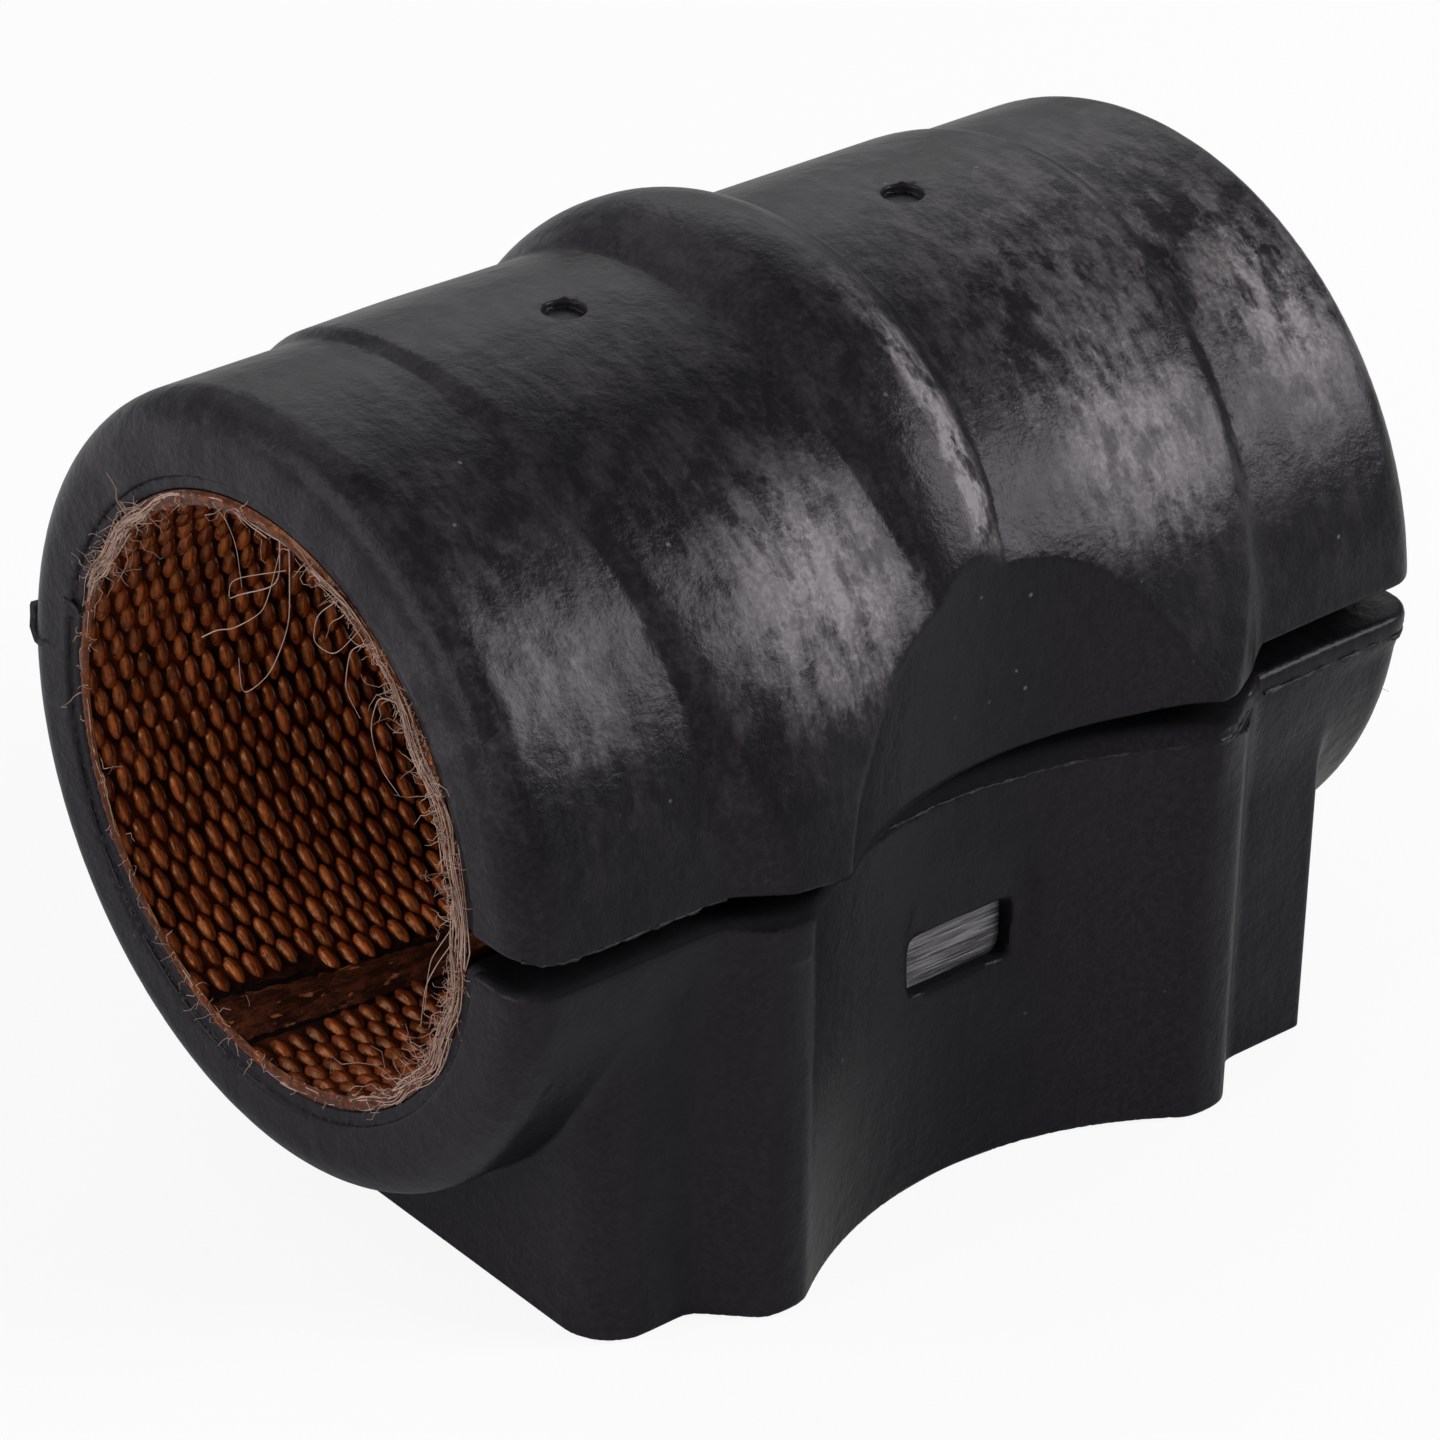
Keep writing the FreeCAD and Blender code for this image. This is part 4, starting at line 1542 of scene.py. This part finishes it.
        # Tone 1 on the strip, 0 on its margins, which carry painted shade.
        add_floats(mesh, TONE_ATTRIBUTE, on_strip.ravel())
        return place("seam_strip", mesh, finish.material(), Slot.LINING)

    def build_edges(self, finish: YarnFinish, rng: np.random.Generator) -> bpy.types.Object:
        """Builds the cloth's cut edges round both ends, as a soft lumpy band.

        Args:
            finish: The piece's finish.
            rng: The script's one source of random numbers.

        Returns:
            The two bands as one piece.
        """
        pieces = []
        angles = np.linspace(self.slit_top_angle, 360.0 + self.slit_bottom_angle, 420)
        section = np.linspace(0.0, 1.0, 7)
        turn, share = np.meshgrid(angles, section, indexing="ij")
        inner = self.bore_radius + self.edge_inset
        radius = inner + (self.outer_radius - inner) * share
        for sign in (-1.0, 1.0):
            lump = 1.0 + rng.normal(0.0, self.edge_lumps, angles.shape)[:, None]
            proud = self.edge_proud * np.sin(share * math.pi) * lump - self.edge_sunk
            y = sign * (self.half_length + proud)
            order = slice(None) if sign < 0 else slice(None, None, -1)
            pieces.append(self.tube_grid("edge_part", radius[order], turn[order], y[order]))
        work = bmesh.new()
        for part in pieces:
            work.from_mesh(part)
            bpy.data.meshes.remove(part)
        mesh = bpy.data.meshes.new("lining_cut_edges")
        work.to_mesh(mesh)
        work.free()
        mesh.shade_smooth()
        add_floats(mesh, TONE_ATTRIBUTE, np.clip(rng.normal(0.08, 0.2, len(mesh.vertices)), 0.0, 0.7))
        return place("lining_cut_edges", mesh, finish.material(), Slot.LINING)


@dataclass
class FrayedFibres:
    """Broken pale fibres that stand and lie round the lining's cut ends."""

    rim_radius: float = 17.45
    end: float = 33.2
    strand_count: int = 130
    fuzz_count: int = 1150
    thread_radius: float = 0.036
    strand_span: tuple[float, float] = (6.0, 34.0)
    strand_points: int = 12
    rim_limits: tuple[float, float] = (16.7, 18.4)
    strand_thickness: float = 1.25
    fuzz_thickness: float = 0.85
    fuzz_steps: int = 6
    fuzz_scale: float = 0.56
    fuzz_turn: float = 0.55
    tone_middle: float = 0.62
    tone_spread: float = 0.22

    thickness_knots: Knots = (
        (-180.0, 0.05), (-150.0, 0.06), (-115.0, 0.08), (-100.0, 0.08), (-60.0, 0.10), (-42.0, 0.26),
        (-25.0, 0.6), (-4.5, 0.9), (1.5, 1.0), (15.0, 0.95), (35.0, 0.8), (50.0, 0.5), (78.0, 0.20),
        (100.0, 0.06), (124.0, 0.15), (133.0, 0.85), (152.0, 0.85), (160.0, 0.15), (180.0, 0.05),
    )

    thread_knots: tuple[tuple[Triple, ...], ...] = (
        ((3.0, 17.2, -33.4), (2.7, 15.5, -33.2), (2.2, 12.1, -32.9), (0.2, 8.1, -32.8),
         (-2.6, 5.4, -32.8), (-2.5, 8.0, -33.0)),
        ((2.0, 17.3, -33.3), (1.5, 14.2, -33.0), (-3.0, 11.6, -32.6), (-3.9, 10.9, -32.6),
         (-3.4, 12.5, -32.8), (2.4, 15.6, -33.2)),
        ((-4.2, 17.0, -33.3), (-3.6, 16.0, -32.8), (-3.0, 14.6, -32.6), (-2.6, 12.2, -32.6)),
        ((-6.4, 7.5, -32.7), (-4.8, 8.7, -32.8), (-3.3, 9.4, -32.8), (-1.2, 11.0, -33.0),
         (0.4, 12.4, -33.2), (2.2, 16.9, -33.4)),
        ((7.2, 15.9, -33.3), (4.8, 13.9, -33.0), (4.1, 11.8, -32.8), (6.1, 11.8, -32.8),
         (9.0, 14.9, -33.2)),
        ((17.4, 0.8, -33.5), (16.6, -0.6, -33.7), (15.3, -2.5, -33.6), (14.3, -6.3, -33.2)),
        ((17.3, -0.4, -33.6), (16.2, -2.2, -33.8), (14.9, -4.3, -33.6), (13.8, -7.6, -33.1)),
        ((9.8, 14.5, -33.5), (8.0, 13.2, -33.2), (7.2, 10.4, -33.0), (8.6, 9.2, -33.0)),
        ((12.6, 12.2, -33.6), (10.6, 11.6, -33.3), (9.4, 9.0, -33.0), (10.2, 6.8, -32.9),
         (12.0, 6.0, -33.0)),
        ((-12.0, 12.8, -33.5), (-12.6, 13.9, -33.9), (-12.0, 14.9, -34.2), (-12.8, 15.6, -34.3)),
    )

    def density(self, angle: float, sign: float) -> float:
        """How thickly the fibres lie at an angle, from 0 to 1."""
        turn = (angle + 180.0) % 360.0 - 180.0
        return float(profile(self.thickness_knots, turn)) * (1.0 if sign < 0 else 0.8)

    def polar(self, radius: Array, angle: Array, y: Array) -> Array:
        """Points from radius, angle in degrees and place along the bore."""
        turn = np.radians(angle)
        return np.stack([radius * np.cos(turn), y, radius * np.sin(turn)], axis=-1)

    def strand(self, rng: np.random.Generator, angle: float, sign: float) -> Array:
        """A fibre that lies along the rim.

        Args:
            rng: The script's one source of random numbers.
            angle: Degrees round the bore.
            sign: -1 at the front end, 1 at the rear.

        Returns:
            The fibre's points.
        """
        span = rng.uniform(*self.strand_span)
        share = np.linspace(0.0, 1.0, self.strand_points)
        around = angle + span * (share - 0.5)
        thick = profile(self.thickness_knots, (around + 180.0) % 360.0 - 180.0)
        cord = 0.22 * np.sin(around * 0.115 + 1.0) + 0.14 * np.sin(around * 0.33)
        wave = rng.normal(0.0, 0.06, self.strand_points).cumsum()
        radius = self.rim_radius + cord + rng.normal(0.06, 0.30) * (0.35 + thick) + wave - wave.mean()
        lift = 0.02 + thick * (0.30 + 0.12 * np.sin(around * 0.21) + rng.uniform(-0.22, 0.12))
        y = sign * (self.end + np.maximum(lift, 0.02))
        return self.polar(np.clip(radius, *self.rim_limits), around, y)

    def fuzz(self, rng: np.random.Generator, angle: float, sign: float) -> Array:
        """A short fibre that stands off the rim.

        Args:
            rng: The script's one source of random numbers.
            angle: Degrees round the bore.
            sign: -1 at the front end, 1 at the rear.

        Returns:
            The fibre's points.
        """
        radius = np.array(self.rim_radius + rng.uniform(-0.4, 0.5))
        start = self.polar(radius, np.array(angle), np.array(sign * self.end))
        turn = math.radians(angle)
        inward = np.array([-math.cos(turn), 0.0, -math.sin(turn)])
        around = np.array([-math.sin(turn), 0.0, math.cos(turn)])
        outward = np.array([0.0, sign, 0.0])
        heading = inward * rng.normal(0.35, 0.6) + around * rng.normal(0.0, 0.9)
        heading = heading + outward * rng.uniform(-0.1, 0.4)
        heading /= np.linalg.norm(heading)
        length = rng.gamma(2.0, self.fuzz_scale)
        points = [start]
        for _ in range(self.fuzz_steps):
            heading = heading + rng.normal(0.0, self.fuzz_turn, 3)
            heading /= np.linalg.norm(heading)
            points.append(points[-1] + heading * length / self.fuzz_steps)
        return np.array(points)

    def loose_threads(self) -> list[Array]:
        """The longer threads that hang into the bore's front mouth.

        Returns:
            Each thread's points.
        """
        threads = []
        for line in self.thread_knots:
            rough = np.array([(x, y, z) for x, z, y in line])
            places = np.linspace(0.0, len(rough) - 1.0, 6 * len(rough))
            corners = np.arange(len(rough))
            smooth = np.stack([np.interp(places, corners, rough[:, k]) for k in range(3)], axis=1)
            for _ in range(6):
                smooth[1:-1] = 0.25 * smooth[:-2] + 0.5 * smooth[1:-1] + 0.25 * smooth[2:]
            threads.append(smooth)
        return threads

    def build(self, finish: FibreFinish, rng: np.random.Generator) -> bpy.types.Object:
        """Builds every fibre as one piece.

        Args:
            finish: The piece's finish.
            rng: The script's one source of random numbers.

        Returns:
            The new piece.
        """
        tubes = TubeBundle(sides=4)
        for sign in (-1.0, 1.0):
            for make, count, thick in (
                (self.strand, self.strand_count, self.strand_thickness),
                (self.fuzz, self.fuzz_count, self.fuzz_thickness),
            ):
                made = 0
                while made < count:
                    angle = rng.uniform(2.0, 355.0)
                    if rng.uniform() > self.density(angle, sign):
                        continue
                    line = make(rng, angle, sign)
                    taper = np.linspace(1.0, 0.45, len(line)) * self.thread_radius * thick
                    tone = np.clip(rng.normal(self.tone_middle, self.tone_spread), 0.1, 1.0)
                    tubes.add(line, taper, float(tone))
                    made += 1
        for line in self.loose_threads():
            tubes.add(line, np.linspace(1.0, 0.6, len(line)) * self.thread_radius, 0.65)
        return place("frayed_fibres", tubes.mesh("frayed_fibres"), finish.material(), Slot.LINING)


@dataclass(frozen=True)
class Softbox:
    """A square soft light that faces the part."""

    name: str
    direction: Triple
    distance: float
    size: float
    watts: float

    def add(self) -> None:
        """Adds the lamp to the scene."""
        lamp = bpy.data.lights.new(self.name, "AREA")
        lamp.shape = "SQUARE"
        lamp.size = self.size
        lamp.energy = self.watts
        box = bpy.data.objects.new(self.name, lamp)
        towards = Vector(self.direction).normalized()
        box.location = towards * self.distance
        box.rotation_mode = "QUATERNION"
        box.rotation_quaternion = towards.to_track_quat("Z", "Y")
        bpy.context.scene.collection.objects.link(box)


@dataclass
class Studio:
    """Pale floor, soft lights and the camera at the photograph's angle."""

    floor_height: float = -0.0276
    camera_place: Triple = (0.228903, -0.195255, 0.166449)
    azimuth: float = 49.612
    elevation: float = 29.889
    roll: float = 1.156
    lens: float = 147.758
    sensor: float = 36.0
    floor_size: float = 2.0
    floor_grey: float = 0.78
    floor_glow: float = 0.90
    surround: Colour = (0.96, 0.97, 1.0)
    surround_strength: float = 0.24
    softboxes: tuple[Softbox, ...] = (
        Softbox("rear_right_box", (0.60, 0.60, 0.50), 0.7, 0.34, 4.1),
        Softbox("rear_left_box", (-0.62, 0.58, 0.52), 0.8, 0.56, 1.05),
        Softbox("left_box", (-0.66, -0.16, 0.74), 0.8, 0.5, 0.75),
        Softbox("front_left_box", (-0.45, -0.90, 0.50), 0.8, 0.45, 2.0),
        Softbox("front_box", (0.10, -1.0, 0.28), 0.8, 0.30, 1.5),
    )

    def build_floor(self) -> bpy.types.Object:
        """Builds the floor: white to the camera, with a share of real light for the shadow.

        Returns:
            The floor.
        """
        size = self.floor_size
        mesh = bpy.data.meshes.new("floor")
        corners = [(-size, -size), (size, -size), (size, size), (-size, size)]
        mesh.from_pydata([(x, y, self.floor_height) for x, y in corners], [], [(0, 1, 2, 3)])
        floor = bpy.data.objects.new("floor", mesh)
        bpy.context.scene.collection.objects.link(floor)
        g = SurfaceGraph("floor_white")
        g.dress("Base Color", rgba((self.floor_grey,) * 3))
        g.dress("Roughness", 0.9)
        g.dress("Specular IOR Level", 0.0)
        rays = g.node("LightPath")
        seen = g.math("MAXIMUM", rays.outputs["Is Camera Ray"], rays.outputs["Is Transmission Ray"])
        glow = g.node("Emission", {"Color": WHITE, "Strength": 1.0})
        share = g.times(seen, self.floor_glow)
        blend = g.node("MixShader", {0: share, 1: g.shader.outputs[0], 2: glow.outputs[0]})
        g.feed(g.output.inputs[0], blend.outputs[0])
        mesh.materials.append(g.material)
        return floor

    def build_world(self) -> None:
        """Sets a soft even surround that is white to the camera."""
        world = bpy.data.worlds.new("studio")
        bpy.context.scene.world = world
        world.use_nodes = True
        g = Graph(world.node_tree)
        surround = g.node("Background", {0: rgba(self.surround), 1: self.surround_strength})
        white = g.node("Background", {0: WHITE, 1: 1.0})
        rays = g.node("LightPath")
        seen = g.math("MAXIMUM", rays.outputs["Is Camera Ray"], rays.outputs["Is Transmission Ray"])
        blend = g.node("MixShader", {0: seen, 1: surround.outputs[0], 2: white.outputs[0]})
        g.feed(g.node("OutputWorld").inputs[0], blend.outputs[0])

    def build_camera(self) -> None:
        """Adds the camera at the photograph's place and angle."""
        az, el, roll = (math.radians(v) for v in (self.azimuth, self.elevation, self.roll))
        back = Vector((math.sin(az) * math.cos(el), -math.cos(az) * math.cos(el), math.sin(el)))
        right = (-back).cross(Vector((0.0, 0.0, 1.0))).normalized()
        up = right.cross(-back)
        turned = right * math.cos(roll) + up * math.sin(roll)
        upright = up * math.cos(roll) - right * math.sin(roll)
        rotation = Matrix((turned, upright, back)).transposed()
        data = bpy.data.cameras.new("studio_camera")
        data.sensor_width = self.sensor
        data.lens = self.lens
        data.clip_start, data.clip_end = 0.01, 10.0
        camera = bpy.data.objects.new("studio_camera", data)
        camera.matrix_world = Matrix.Translation(self.camera_place) @ rotation.to_4x4()
        bpy.context.scene.collection.objects.link(camera)
        bpy.context.scene.camera = camera

    def build(self) -> None:
        """Builds the whole studio."""
        self.build_floor()
        self.build_world()
        for softbox in self.softboxes:
            softbox.add()
        self.build_camera()
        bpy.context.scene.view_settings.view_transform = "Standard"


def dress_channel() -> None:
    """Gives the metal channel its drawn aluminium finish."""
    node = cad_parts["reinforcement_channel"]
    node.data.materials.clear()
    node.data.materials.append(MetalFinish().material())
    log.info("reinforcement_channel: finish set")


def main() -> None:
    """Builds the bushing and its studio in order."""
    logging.basicConfig(level=logging.INFO, format="%(name)s %(message)s")
    rng = np.random.default_rng(SEED)
    moulding = RubberMoulding(MouldedForm(), SkinMesher(), RubberFinish(), FlashFinish())
    moulding.build()
    moulding.build_flash(rng)
    lining = WovenLining()
    cloth = lining.build_cloth(ClothFinish())
    on_cloth = lining.build_floats(YarnFinish(), rng)
    on_cloth.append(lining.build_seam(SeamFinish(), rng))
    on_cloth.append(lining.build_edges(YarnFinish("cut_yarn_ends"), rng))
    on_cloth.append(FrayedFibres().build(FibreFinish(), rng))
    dress_channel()
    Studio().build()


if __name__ == "__main__":
    main()
